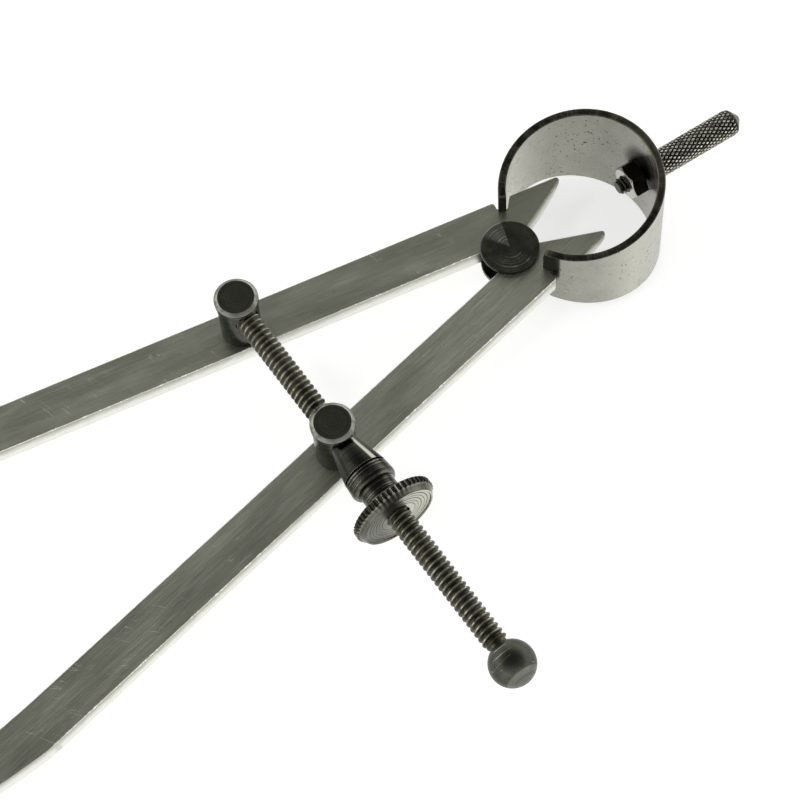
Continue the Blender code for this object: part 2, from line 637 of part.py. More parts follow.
def handle():
    """A stub with a diamond knurl of raised pyramids, a blunt cone at its end and a stud for its nut."""
    columns = 2 * HANDLE_KNURL_COUNT
    knurl_length = HANDLE_LENGTH - HANDLE_CONE_HEIGHT
    rows = 2 * round(knurl_length / HANDLE_KNURL_PITCH)
    root = HANDLE_RADIUS - HANDLE_KNURL_DEPTH
    stud_low = -(handle_nut_seat() + HEX_THICKNESS + STUD_PROJECTION)
    bm = bmesh.new()

    def ring(radius, height, knurled=0):
        made = []
        for i in range(columns):
            reach = radius + (HANDLE_KNURL_DEPTH if knurled and (i + knurled) % 2 else 0.0)
            angle = 2 * math.pi * i / columns
            made.append(bm.verts.new((reach * math.cos(angle), reach * math.sin(angle), height)))
        return made

    rings = [ring(STUD_RADIUS - STUD_CHAMFER, stud_low), ring(STUD_RADIUS, stud_low + STUD_CHAMFER)]
    rings += [ring(STUD_RADIUS, 0.0), ring(root - PIN_GAP, 0.0)]
    first_knurled = len(rings)
    rings += [ring(root, knurl_length * (j + 0.5) / (rows + 1), j + 1) for j in range(rows + 1)]
    last_knurled = len(rings) - 1
    rings += [ring(root, knurl_length), ring(HANDLE_TIP_RADIUS, HANDLE_LENGTH)]
    for level, (lower, upper) in enumerate(zip(rings, rings[1:])):
        for i in range(columns):
            after = (i + 1) % columns
            corners = (lower[i], lower[after], upper[after], upper[i])
            if not first_knurled <= level < last_knurled:
                bm.faces.new(corners)
            elif (i + level - first_knurled + 1) % 2:
                bm.faces.new((corners[0], corners[1], corners[3]))
                bm.faces.new((corners[1], corners[2], corners[3]))
            else:
                bm.faces.new((corners[0], corners[1], corners[2]))
                bm.faces.new((corners[0], corners[2], corners[3]))
    bm.faces.new(rings[0][::-1])
    bm.faces.new(rings[-1])
    data = mesh_from_bmesh("handle", bm, math.radians(20))
    return add_object("handle", data, handle_frame(BOW_HALF_HEIGHT + SEAT_GAP), black_steel)


def chamfer_ring(name):
    """A ring whose inner side is a flat cone, to take the corners off the handle nut's face."""
    low = -HEX_THICKNESS / 2
    margin = HEX_FACE_RADIUS / 4
    outer = HEX_ACROSS_FLATS
    slope = math.tan(HEX_CHAMFER_ANGLE)
    profile = [
        (outer, low + (outer - HEX_FACE_RADIUS) * slope),
        (outer, low - HEX_THICKNESS),
        (HEX_FACE_RADIUS - margin, low - HEX_THICKNESS),
        (HEX_FACE_RADIUS - margin, low - margin * slope),
    ]
    bm = bmesh.new()
    loop = [bm.verts.new((radius, 0.0, height)) for radius, height in profile]
    edges = [bm.edges.new(pair) for pair in zip(loop, loop[1:] + loop[:1])]
    turn = 2 * math.pi
    axis = Vector((0.0, 0.0, 1.0))
    bmesh.ops.spin(bm, geom=loop + edges, axis=axis, cent=(0.0, 0.0, 0.0), angle=turn, steps=ROUND_SEGMENTS)
    bmesh.ops.remove_doubles(bm, verts=bm.verts, dist=MERGE_DISTANCE)
    bmesh.ops.recalc_face_normals(bm, faces=bm.faces)
    return mesh_from_bmesh(name, bm)


def handle_nut():
    """A hexagon nut, its corners towards the legs, its face chamfered round."""
    bm = bmesh.new()
    corner = HEX_ACROSS_FLATS / math.sqrt(3)
    bmesh.ops.create_cone(bm, cap_ends=True, segments=6, radius1=corner, radius2=corner, depth=HEX_THICKNESS)
    turn = Matrix.Rotation(math.radians(30), 3, "Z")
    bmesh.ops.rotate(bm, cent=(0.0, 0.0, 0.0), matrix=turn, verts=bm.verts)
    place = handle_frame(BOW_HALF_HEIGHT + SEAT_GAP - handle_nut_seat() - HEX_THICKNESS / 2)
    item = add_object("handle_nut", mesh_from_bmesh("handle_nut", bm), place, black_steel)
    cut(item, add_cutter("handle_nut_chamfer", chamfer_ring("handle_nut_chamfer"), place))
    bore = cylinder_mesh("handle_nut_bore", STUD_RADIUS + PIN_GAP, 2 * HEX_THICKNESS, FINE_SEGMENTS)
    cut(item, add_cutter("handle_nut_bore", bore, place))
    return item


def tip_the_tool():
    """Tip the tool frame so that bow and legs share a level, spool face centre at the origin."""
    turn = Matrix.Rotation(REST_TILT, 4, "X")
    tool_frame.matrix_world = turn @ Matrix.Translation((0.0, 0.0, -SPOOL_TOP))


clear_scene()
caliper = make_collection("spring_caliper")
cutters = make_collection("cutters")
tool_frame = bpy.data.objects.new("tool_frame", None)
caliper.objects.link(tool_frame)
bright_steel = make_material("bright_steel", (0.36, 0.36, 0.33), 0.34, 1.0)
bow_steel = make_material("bow_steel", (0.5, 0.5, 0.46), 0.32, 1.0)
black_steel = make_material("black_steel", (0.045, 0.045, 0.042), 0.3, 0.6)
tip_the_tool()
bow_spring()
fulcrum_spool()
leg("left_leg", -1)
leg("right_leg", 1)
post("left_post", -1, blind=True)
post("right_post", 1, blind=False)
post_fastening("left", -1)
post_fastening("right", 1)
adjusting_screw()
stop_ball()
thrust_collar()
adjusting_nut()
handle()
handle_nut()
bpy.context.view_layer.update()
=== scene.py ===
import math

import bmesh
import bpy
import numpy as np
from mathutils import Matrix, Vector


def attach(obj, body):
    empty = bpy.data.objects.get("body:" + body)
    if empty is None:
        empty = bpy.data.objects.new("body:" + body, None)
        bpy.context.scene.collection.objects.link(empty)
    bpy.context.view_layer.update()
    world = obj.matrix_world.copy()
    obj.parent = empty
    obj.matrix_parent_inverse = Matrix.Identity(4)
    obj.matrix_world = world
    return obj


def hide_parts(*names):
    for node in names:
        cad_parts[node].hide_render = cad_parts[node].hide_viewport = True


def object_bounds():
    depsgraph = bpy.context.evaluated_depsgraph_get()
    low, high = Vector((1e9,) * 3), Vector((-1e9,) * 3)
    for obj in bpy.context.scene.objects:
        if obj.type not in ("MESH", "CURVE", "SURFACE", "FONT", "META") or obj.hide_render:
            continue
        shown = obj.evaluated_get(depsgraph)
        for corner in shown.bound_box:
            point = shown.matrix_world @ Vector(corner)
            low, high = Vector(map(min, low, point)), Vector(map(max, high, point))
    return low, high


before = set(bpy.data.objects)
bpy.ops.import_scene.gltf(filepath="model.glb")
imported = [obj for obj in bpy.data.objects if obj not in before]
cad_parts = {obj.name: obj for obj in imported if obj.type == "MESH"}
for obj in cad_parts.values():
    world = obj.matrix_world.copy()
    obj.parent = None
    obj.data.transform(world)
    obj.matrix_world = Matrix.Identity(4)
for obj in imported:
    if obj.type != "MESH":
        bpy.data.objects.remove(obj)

CAD_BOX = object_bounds()
MM = 0.001

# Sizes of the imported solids, in metres
SEAT_GAP = 0.15 * MM
PIN_GAP = 0.1 * MM
LEG_LENGTH = 140.0 * MM
LEG_WIDTH = 7.15 * MM
LEG_THICKNESS = 3.0 * MM
LEG_INNER = 1.37 * MM
LEG_ANGLE = math.radians(10.56)
LEG_TAPER = 42.0 * MM
LEG_BEND = 9.0 * MM
LEG_POINT = 16.0 * MM
LEG_ROUND = 0.22 * MM
POINT_OFFSET = 0.3 * MM
POINT_HALF = 0.18 * MM
TONGUE = 12.1 * MM
TONGUE_ANGLE = math.radians(55.5)
TONGUE_OFFSET = 0.35 * MM
TONGUE_ROUND = 0.48 * MM
GRIND_START = 6.5 * MM
GRIND_MIDDLE = 10.6 * MM
GRIND_DEPTH = 0.9 * MM
GRIND_TIP = 0.7 * MM
BOW_Y = 13.12 * MM
BOW_A = 12.67 * MM
BOW_B = 12.33 * MM
BOW_WALL = 1.18 * MM
BOW_ROUND = 0.25 * MM
BOW_TOP_HALF = 9.6 * MM
BOW_MID_HALF = 7.6 * MM
BOW_LEFT_END = math.radians(150.4)
BOW_RIGHT_END = math.radians(154.0)
BOW_ROOT = math.radians(147.03)
BOW_CORNER = 0.6 * MM
NOTCH_DEPTH = 2.2 * MM
NOTCH_HALF = 0.82 * MM
NOTCH_LOW = 1.3 * MM
NOTCH_HIGH = 3.95 * MM
NOTCH_FLOOR_ROUND = 0.3 * MM
NOTCH_MOUTH_ROUND = 0.45 * MM
SPOOL_R = 4.42 * MM
SPOOL_T = 0.75 * MM
SPOOL_CORE = 3.2 * MM
POST_DISTANCE = 41.54 * MM
POST_HEIGHT = 9.75 * MM
POST_HEAD_T = 1.3 * MM
POST_HEAD_R = 3.28 * MM
POST_FACE_R = 2.7 * MM
POST_CHAMFER = 0.45 * MM
POST_BODY_R = 3.05 * MM
POST_NECK_R = 2.9 * MM
POST_SHANK_R = 1.6 * MM
POST_TAPPED_R = 0.9 * MM
POST_TAPPED_DEPTH = 3.4 * MM
WASHER_R = 2.9 * MM
WASHER_T = 0.5 * MM
POST_SCREW_R = 0.8 * MM
POST_SCREW_HEAD_R = 1.9 * MM
POST_SCREW_HEAD_T = 0.9 * MM
POST_SCREW_SLOT = 0.45 * MM
POST_SCREW_SLOT_DEPTH = 0.4 * MM
SCREW_Z = 7.9 * MM
SCREW_R = 1.82 * MM
SCREW_PITCH = 0.94 * MM
SCREW_BLIND = 1.7 * MM
SCREW_REACH = 40.16 * MM
BALL_R = 3.4 * MM
SPIGOT_R = 1.2 * MM
SPIGOT_LENGTH = 2.4 * MM
COLLAR_LENGTH = 5.15 * MM
COLLAR_NOSE = 2.15 * MM
COLLAR_FACE = 3.4 * MM
COLLAR_SEAT = 0.5 * MM
NUT_TEETH = 50
NUT_TOOTH_DEPTH = 0.3 * MM
HANDLE_LEAN = math.radians(2.0)
HANDLE_R = 2.12 * MM
HANDLE_LENGTH = 16.9 * MM
HANDLE_CONE = 1.2 * MM
HANDLE_TIP = 0.4 * MM
STUD_R = 1.3 * MM
STUD_OUT = 1.35 * MM
HEX_FLATS = 5.1 * MM
HEX_T = 2.4 * MM
HEX_FACE = 2.42 * MM
HEX_CHAMFER = math.radians(30)

# Finer forms that only the looks have
THREAD_DEPTH = 0.40 * MM
THREAD_PLAIN_END = 0.3 * MM
STUD_PITCH = 0.6 * MM
STUD_DEPTH = 0.34 * MM
KNURL_STARTS = 20
KNURL_DEPTH = 0.24 * MM
KNURL_ANGLE = math.radians(30)
TOOTH_SHAPE = (1.0, 0.62, 0.22, 0.05, 0.0, 0.05, 0.22, 0.62)
NUT_BODY_LENGTH = 1.8 * MM
NUT_BODY_R = 3.4 * MM
NUT_SHOULDER_R = 3.55 * MM
NUT_SHOULDER_LENGTH = 1.0 * MM
LATHE_STEP = 0.2 * MM
TURNED_ROUND = 0.06 * MM
SHARP_ANGLE = 30.0
ROUND_SEGMENTS = 128
BORE_SEGMENTS = 96
TINY = 1e-7

HALF_T = LEG_THICKNESS / 2
LEG_OUTER = LEG_INNER + LEG_WIDTH
LEG_MID = LEG_INNER + LEG_WIDTH / 2
BOW_SLOT_RUN = 2 * BOW_B * (BOW_RIGHT_END - BOW_ROOT)
BOW_NOTCH = BOW_ROOT - NOTCH_DEPTH / 2 / BOW_B
BALL_FLAT = math.sqrt(BALL_R**2 - SCREW_R**2)
SCREW_BORE = SCREW_R + PIN_GAP
SPOOL_TOP = HALF_T + SEAT_GAP + SPOOL_T
POST_X = POST_DISTANCE * math.sin(LEG_ANGLE) + LEG_MID * math.cos(LEG_ANGLE)
POST_Y = LEG_MID * math.sin(LEG_ANGLE) - POST_DISTANCE * math.cos(LEG_ANGLE)
SHANK_END = -HALF_T - SEAT_GAP
COLLAR_X = POST_X + POST_BODY_R - COLLAR_SEAT + SEAT_GAP
LOWEST_BOW_Y = BOW_Y + BOW_B - BOW_WALL + BOW_ROUND
LOWEST_LEG_Y = -(LEG_LENGTH - LEG_POINT) * math.cos(LEG_ANGLE)
TILT = math.atan2(BOW_TOP_HALF - HALF_T, LOWEST_BOW_Y - LOWEST_LEG_Y)
TOOL = Matrix.Rotation(TILT, 4, "X") @ Matrix.Translation((0, 0, -SPOOL_TOP))
TURN_X = Matrix.Rotation(math.radians(90), 4, "Y")
SIDES = (("left", -1), ("right", 1))

# Camera, floor and light
CAMERA_FORWARD = (-0.3903, 0.2276, -0.8921)
CAMERA_UP = (-0.7222, 0.5253, 0.4500)
CAMERA_PLACE_MM = (160.501, -114.924, 343.199)
FOCAL_PIXELS = 2630.95
IMAGE_PIXELS = 800.0
SENSOR_WIDTH = 36.0
FLOOR_REACH = 1.5
FLOOR_GREY = 0.62
FLOOR_GLOW = 0.67
SKY_FLOOR = (1.9, 1.9, 1.86, 1)
SKY_STOPS = ((0.42, 1.7), (0.6, 0.6), (0.78, 0.17))
SKY_TOP = (0.14, 0.14, 0.135, 1)
LAMP_DIRECTION = (-0.035, -0.522, 0.853)
LAMP_DISTANCE = 0.6
LAMP_SIZE = 0.12
LAMP_POWER = 0.35


class Nodes:
    """A material, with short ways to add nodes to it."""

    def __init__(self, name):
        self.mat = bpy.data.materials.new(name)
        self.mat.use_nodes = True
        self.tree = self.mat.node_tree
        self.bsdf = self.tree.nodes["Principled BSDF"]
        self.out = self.tree.nodes["Material Output"]

    def feed(self, socket, value):
        """Links another node's output to the socket, or sets a plain value on it."""
        if hasattr(value, "is_output"):
            self.tree.links.new(value, socket)
        else:
            socket.default_value = value

    def add(self, kind, inputs=None, **settings):
        node = self.tree.nodes.new(kind)
        for key, value in settings.items():
            setattr(node, key, value)
        for key, value in (inputs or {}).items():
            self.feed(node.inputs[key], value)
        return node

    def math(self, operation, *values, clamp=False):
        inputs = dict(enumerate(values))
        return self.add("ShaderNodeMath", inputs, operation=operation, use_clamp=clamp).outputs[0]

    def times(self, product, *others):
        for other in others:
            product = self.math("MULTIPLY", product, other)
        return product

    def ramp(self, source, low, high, out_low=0.0, out_high=1.0):
        """A smooth step from one value to another."""
        inputs = {"Value": source, "From Min": low, "From Max": high, "To Min": out_low, "To Max": out_high}
        node = self.add("ShaderNodeMapRange", inputs, clamp=True, interpolation_type="SMOOTHSTEP")
        return node.outputs["Result"]

    def fall(self, source, low, high):
        """A smooth step from one down to zero."""
        return self.ramp(source, low, high, 1.0, 0.0)

    def band(self, source, start, full, fading, end):
        """One from full to fading, and zero before start and after end."""
        return self.times(self.ramp(source, start, full), self.fall(source, fading, end))

    def mix(self, share, first, second):
        node = self.add("ShaderNodeMix", {0: share}, data_type="RGBA")
        for i, value in ((6, first), (7, second)):
            self.feed(node.inputs[i], value if hasattr(value, "is_output") else (*value, 1.0))
        return node.outputs[2]

    def place(self, scale=(1, 1, 1), rotation=(0, 0, 0)):
        """The object's own coordinates, scaled and turned."""
        coords = self.add("ShaderNodeTexCoord").outputs["Object"]
        inputs = {"Vector": coords, "Scale": scale, "Rotation": rotation}
        return self.add("ShaderNodeMapping", inputs).outputs["Vector"]

    def split(self, vector):
        """The vector's X, Y and Z outputs."""
        return self.add("ShaderNodeSeparateXYZ", {"Vector": vector}).outputs

    def facing(self):
        """X, Y and Z of the direction in which the surface faces."""
        return self.split(self.add("ShaderNodeTexCoord").outputs["Normal"])

    def noise(self, vector, scale, detail=3.0, rough=0.55):
        inputs = {"Vector": vector, "Scale": scale, "Detail": detail, "Roughness": rough}
        return self.add("ShaderNodeTexNoise", inputs).outputs["Fac"]

    def noise_along(self, value, scale, detail):
        """Noise along one coordinate, the same across it."""
        inputs = {"W": value, "Scale": scale, "Detail": detail}
        return self.add("ShaderNodeTexNoise", inputs, noise_dimensions="1D").outputs["Fac"]

    def set(self, key, value):
        self.feed(self.bsdf.inputs[key], value)

    def metal(self, colour, rough, height, distance, strength):
        """Finishes the material as bare metal with a fine relief, and returns it."""
        relief = self.add("ShaderNodeBump", {"Height": height, "Distance": distance, "Strength": strength})
        self.set("Base Color", colour)
        self.set("Metallic", 1.0)
        self.set("Roughness", rough)
        self.set("Normal", relief.outputs["Normal"])
        return self.mat


def scratches(n, vector, scale, rotation, width):
    """Thin straight lines at one angle, cut short by a slower noise."""
    inputs = {"Vector": vector, "Rotation": rotation, "Scale": [1 / value for value in scale]}
    turned = n.add("ShaderNodeMapping", inputs, vector_type="TEXTURE").outputs[0]
    lines = n.noise(turned, 1.0, 1.0, 0.4)
    thin = n.fall(n.math("ABSOLUTE", n.math("SUBTRACT", lines, 0.5)), 0.0, width)
    return n.times(thin, n.ramp(n.noise(vector, 430.0, 2.0), 0.54, 0.62))


def bow_angle(n, point):
    """The angle round the bow, zero at its handle."""
    return n.math("ARCTAN2", point["X"], n.math("SUBTRACT", point["Y"], BOW_Y))


def steel_leg(name, streaks):
    """Ground flat steel: fine lengthwise grain, painted light on the side faces (lighter than the top,
    lightest towards their bottom), small nicks along the edges.
    """
    n = Nodes(name)
    grain = n.noise(n.place((5200, 95, 5200), (0, 0, 0.015)), 1.0, 4.0, 0.6)
    fine = n.noise(n.place((15000, 260, 15000), (0, 0, -0.02)), 1.0, 2.0, 0.6)
    pale = n.ramp(n.noise(n.place((9500, 170, 9500), (0, 0, -0.03)), 1.0, 3.0, 0.6), 0.56, 0.66)
    deep = n.ramp(n.noise(n.place((9800, 190, 9800), (0, 0, 0.04)), 1.0, 3.0, 0.6), 0.56, 0.66)
    cloud = n.noise(n.place((200, 60, 200)), 1.0, 3.0)
    blotch = n.noise(n.place((1, 0.6, 1)), 1100.0, 4.0, 0.6)
    pits = n.ramp(n.noise(n.place(), 2600.0, 2.0), 0.71, 0.75)
    marks = scratches(n, n.place(), (60, 900, 60), (0, 0, 0.5), 0.003)
    upright = n.math("ABSOLUTE", n.facing()["Z"])
    # Painted light: the side faces are painted lighter than the top, lightest towards their bottom edge.
    side = n.fall(upright, 0.35, 0.8)
    ragged = n.math("ADD", n.split(n.place())["Z"], n.times(n.math("SUBTRACT", blotch, 0.5), 1.2 * MM))
    lower = n.fall(ragged, -0.5 * MM, 1.4 * MM)
    worn = n.band(upright, 0.2, 0.4, 0.93, 0.98)
    nick = n.ramp(n.noise(n.place(), 1700.0, 4.0, 0.7), 0.52, 0.60)
    colour = n.mix(n.ramp(cloud, 0.35, 0.65), (0.545, 0.555, 0.455), (0.62, 0.63, 0.52))
    colour = n.mix(n.ramp(grain, 0.3, 0.7, 0.0, 0.25), colour, (0.45, 0.455, 0.37))
    colour = n.mix(n.times(deep, 0.6 * streaks), colour, (0.30, 0.30, 0.25))
    colour = n.mix(n.times(pale, 0.6 * streaks), colour, (0.90, 0.90, 0.82))
    colour = n.mix(n.ramp(blotch, 0.58, 0.74, 0.0, 0.25), colour, (0.33, 0.32, 0.27))
    painted_flank_light = n.mix(lower, (0.42, 0.42, 0.37), (0.86, 0.86, 0.82))
    painted_flank_light = n.mix(n.ramp(fine, 0.45, 0.65, 0.0, 0.25), painted_flank_light, (0.40, 0.39, 0.34))
    colour = n.mix(side, colour, painted_flank_light)
    colour = n.mix(n.times(pits, 0.6), colour, (0.10, 0.09, 0.075))
    colour = n.mix(n.times(worn, n.ramp(nick, 0.0, 1.0, 0.1, 0.9)), colour, (0.88, 0.88, 0.84))
    rough = n.math("ADD", n.ramp(cloud, 0.3, 0.7, 0.31, 0.40), n.ramp(grain, 0.35, 0.65, -0.04, 0.05))
    height = n.math("ADD", n.times(grain, 0.7), n.times(fine, 0.5))
    for hollow in (n.times(marks, 1.2), n.times(pits, 0.8), n.times(worn, nick, 1.5)):
        height = n.math("SUBTRACT", height, hollow)
    return n.metal(colour, rough, height, 0.012 * MM, 0.8)


def steel_bow():
    """Rolled spring steel: satin walls with pits and short scratches, painted shade towards its slotted ends
    and by the handle's nut, and painted light and shade round the bow.
    """
    n = Nodes("rolled_bow_steel")
    cloud = n.noise(n.place(), 190.0, 4.0, 0.6)
    blotch = n.noise(n.place((1, 1, 1.6)), 900.0, 4.0, 0.6)
    dense = n.ramp(n.noise(n.place(), 130.0, 1.0), 0.35, 0.65, -0.03, 0.03)
    holes = n.math("ADD", n.noise(n.place((1, 1, 0.7), (0.5, 0, 0)), 2600.0, 3.0, 0.55), dense)
    pits = n.ramp(holes, 0.655, 0.69)
    specks = n.ramp(n.noise(n.place(), 6500.0, 2.0, 0.5), 0.68, 0.74, 0.0, 0.5)
    point = n.split(n.place())
    angle = bow_angle(n, point)
    wall = n.add("ShaderNodeCombineXYZ", {"X": n.times(angle, BOW_B), "Y": point["Z"]}).outputs[0]
    marks = scratches(n, wall, (110, 1500, 1), (0, 0, -0.45), 0.016)
    more = scratches(n, wall, (90, 1800, 1), (0, 0, 0.30), 0.012)
    # Painted shade: darker near the slotted ends.
    ends = n.times(n.fall(point["Y"], 3.3 * MM, 3.55 * MM), n.ramp(point["Z"], -0.2 * MM, 1.2 * MM))
    facing = n.facing()

    # Painted shade: a dark oval on the inner wall by the handle's nut, in place of its shadow and dark
    # reflection
    inner = n.fall(facing["Y"], -0.8, -0.5)
    wide = n.math("DIVIDE", n.math("SUBTRACT", point["X"], 0.2 * MM), 3.9 * MM)
    tall = n.math("DIVIDE", n.math("SUBTRACT", point["Z"], 1.9 * MM), 5.4 * MM)
    reach = n.math("ADD", n.times(wide, wide), n.times(tall, tall))
    painted_nut_shade = n.times(n.ramp(reach, 0.25, 1.0, 0.93, 0.0), inner)

    # Painted light and shade: the walls' tone lightens and darkens round the bow, by degrees from the handle
    tone = n.add("ShaderNodeValToRGB", {"Fac": n.math("ADD", n.math("DIVIDE", angle, 2 * math.pi), 0.5)})
    elements = tone.color_ramp.elements
    elements[0].color = (0.60, 0.60, 0.52, 1)
    elements[1].color = (0.27, 0.27, 0.23, 1)
    stops = (
        (-150, 0.62), (-112, 0.56), (-78, 0.34), (-30, 0.28), (40, 0.31), (66, 0.44), (88, 0.50),
        (115, 0.31), (150, 0.27),
    )
    for degrees, value in stops:
        elements.new(degrees / 360 + 0.5).color = (value, value, value * 0.865, 1)

    worn = n.band(n.math("ABSOLUTE", facing["Z"]), 0.25, 0.45, 0.9, 0.98)
    worn = n.times(worn, n.ramp(n.noise(n.place(), 1300.0, 4.0, 0.7), 0.46, 0.60, 0.15, 1.0))
    colour = n.mix(n.ramp(cloud, 0.3, 0.7, 0.0, 0.18), tone.outputs["Color"], (0.62, 0.62, 0.54))
    colour = n.mix(n.ramp(blotch, 0.55, 0.75, 0.0, 0.45), colour, (0.28, 0.27, 0.225))
    colour = n.mix(pits, colour, (0.055, 0.05, 0.04))
    colour = n.mix(specks, colour, (0.09, 0.085, 0.07))
    colour = n.mix(n.times(marks, 0.55), colour, (0.15, 0.14, 0.12))
    colour = n.mix(n.times(more, 0.45), colour, (0.72, 0.72, 0.66))
    colour = n.mix(n.times(worn, 0.8), colour, (0.80, 0.80, 0.74))
    # Painted shade at the slotted ends and in the oval by the handle's nut.
    colour = n.mix(ends, colour, (0.034, 0.033, 0.027))
    colour = n.mix(painted_nut_shade, colour, (0.030, 0.028, 0.022))
    height = n.math("SUBTRACT", n.times(blotch, 0.8), pits)
    height = n.math("SUBTRACT", height, n.times(n.math("ADD", marks, more), 0.9))
    return n.metal(colour, n.ramp(cloud, 0.3, 0.7, 0.24, 0.34), height, 0.015 * MM, 0.7)


def steel_edge():
    """The dark rolled edge of the strip, with fine brownish lines across it and a painted sheen on a stretch
    by the handle.
    """
    n = Nodes("dark_strip_edge")
    cloud = n.noise(n.place(), 600.0, 4.0, 0.6)
    angle = bow_angle(n, n.split(n.place()))
    across = n.noise_along(angle, 60.0, 4.0)
    lines = n.times(n.ramp(across, 0.5, 0.68), n.ramp(cloud, 0.42, 0.62, 0.1, 1.0))
    # Painted sheen: a lighter stretch of the edge by the handle.
    painted_rim_sheen = n.band(angle, -0.5, 0.1, 0.6, 1.2)
    colour = n.mix(n.ramp(cloud, 0.35, 0.7), (0.030, 0.029, 0.022), (0.070, 0.068, 0.052))
    colour = n.mix(n.times(painted_rim_sheen, 0.6), colour, (0.15, 0.14, 0.11))
    colour = n.mix(n.times(lines, 0.45), colour, (0.22, 0.195, 0.15))
    height = n.math("ADD", cloud, n.times(lines, 0.7))
    return n.metal(colour, n.ramp(cloud, 0.3, 0.7, 0.32, 0.48), height, 0.02 * MM, 0.6)


def black(
    name, low, high, rough, lines=0.0, wear=0.8, crest=None, face=None, bevel=None, side=None, strip=None,
    specks=False, painted_sheen_sectors=False,
):
    """Blackened steel turned about its own Z axis, between two tones.

    lines and wear are the strengths of the turning lines and of the worn edges.
    crest is (start radius, end radius, strength, tone) for what stands far from the axis: lighter crests,
    partly worn bare and partly a painted highlight.
    face is (end, start, full, light, dark, shade) for the end that faces +Z or -Z; shade is how far that face
    is painted darker towards -Y, a painted shade.
    bevel and side are the tones of an upper chamfer and of the walls; the walls' tone is a painted shade that
    keeps them dark.
    strip is (angle, half its width, tone) for a painted highlight: a light streak along the wall.
    specks are small light spots and cuts, and the sector option paints fans of light, a painted sheen, on a
    lathed face.
    """
    n = Nodes(name)
    cloud = n.noise(n.place(), 480.0, 4.0, 0.6)
    fine = n.noise(n.place(), 3800.0, 3.0, 0.6)
    facing = n.facing()["Z"]
    upright = n.math("ABSOLUTE", facing)
    point = n.split(n.place())
    length = n.add("ShaderNodeVectorMath", {"Vector": n.place((1, 1, 0))}, operation="LENGTH")
    radius = length.outputs["Value"]
    line = n.noise_along(n.math("ADD", radius, point["Z"]), 3600.0, 3.0)
    streak = n.times(n.ramp(line, 0.54, 0.66), n.ramp(fine, 0.4, 0.6, 0.2, 1.0))
    worn = n.times(n.band(upright, 0.35, 0.5, 0.85, 0.95), n.ramp(cloud, 0.3, 0.6, 0.4 * wear, wear))
    colour = n.mix(n.ramp(cloud, 0.3, 0.7), low, high)
    colour = n.mix(n.times(n.ramp(line, 0.35, 0.65), 0.35 * lines), colour, tuple(2.2 * v for v in high))
    colour = n.mix(n.times(streak, 0.5 * lines), colour, (0.42, 0.42, 0.36))
    colour = n.mix(worn, colour, (0.38, 0.38, 0.335))
    if crest:
        start, end, strength, light = crest
        # Lighter crests: partly worn bare, partly a painted highlight.
        patch = n.ramp(n.noise(n.place(), 1700.0, 3.0, 0.6), 0.36, 0.60, 0.15, 1.0)
        colour = n.mix(n.times(n.ramp(radius, start, end), patch, strength), colour, light)
    if face:
        end, start, full, light, dark, shade = face
        tone = n.mix(n.ramp(line, 0.34, 0.5), dark, light)
        # Painted shade: the face darkens towards -Y by the share shade.
        tone = n.mix(n.ramp(point["Y"], -3.6 * MM, 2.4 * MM, shade, 0.0), tone, high)
        colour = n.mix(n.ramp(n.times(facing, end), start, full), colour, tone)
    if bevel:
        broken = n.times(n.ramp(cloud, 0.42, 0.62, 0.12, 1.0), n.ramp(line, 0.4, 0.6, 0.4, 1.0))
        colour = n.mix(n.times(n.band(facing, 0.62, 0.7, 0.86, 0.93), broken), colour, bevel)
    if side:
        # Painted shade: the walls are darkened towards the side tone.
        colour = n.mix(n.fall(upright, 0.3, 0.6), colour, side)
    if specks:
        spot = n.ramp(n.noise(n.place((1, 1, 2.2)), 900.0, 4.0, 0.65), 0.62, 0.68)
        cut = n.ramp(n.noise(n.place((90, 90, 4200)), 1.0, 2.0, 0.5), 0.62, 0.70)
        gate = n.ramp(n.noise(n.place(rotation=(1.9, 0, 0)), 300.0, 2.0), 0.5, 0.6)
        colour = n.mix(n.times(n.math("MAXIMUM", spot, cut), gate), colour, (0.40, 0.41, 0.36))
    if strip:
        # Painted highlight: a light streak along the wall at one angle round the axis.
        middle, half, light = strip
        angle = n.math("ARCTAN2", point["Y"], point["X"])
        away = n.math("ABSOLUTE", n.math("SUBTRACT", angle, middle))
        colour = n.mix(n.ramp(away, half * 0.5, half, 0.8, 0.0), colour, light)
    if painted_sheen_sectors:
        # Painted sheen: fans of light and light ring arcs on the upward face.
        turned = n.split(n.place(rotation=(0, 0, math.radians(-190))))
        angle = n.math("ARCTAN2", turned["Y"], turned["X"])
        behind = n.math("ARCTAN2", n.times(turned["Y"], -1.0), n.times(turned["X"], -1.0))
        top = n.ramp(facing, 0.9, 0.97)
        near = n.times(n.band(angle, -0.51, -0.49, 0.2, 0.5), top)
        far = n.times(n.band(behind, -1.6, -0.7, 0.1, 0.35), top, n.ramp(radius, 1.2 * MM, 2.6 * MM))
        arcs = n.times(n.ramp(line, 0.53, 0.62), n.ramp(cloud, 0.4, 0.6, 0.4, 1.0))
        colour = n.mix(n.times(near, 0.9), colour, (0.27, 0.275, 0.235))
        colour = n.mix(n.times(near, arcs, 0.9), colour, (0.72, 0.72, 0.64))
        colour = n.mix(n.times(far, arcs, 0.9), colour, (0.80, 0.80, 0.70))
    rough_noise = n.ramp(cloud, 0.3, 0.7, rough - 0.05, rough + 0.05)
    return n.metal(colour, rough_noise, n.times(fine, 0.5), 0.01 * MM, 0.7)


LEFT_STEEL = steel_leg("left_leg_steel", 0.35)
RIGHT_STEEL = steel_leg("right_leg_steel", 1.0)
BOW_STEEL = steel_bow()
EDGE_STEEL = steel_edge()
BLACK_TOP = black("black_turned", (0.030, 0.030, 0.024), (0.060, 0.060, 0.049), 0.26)
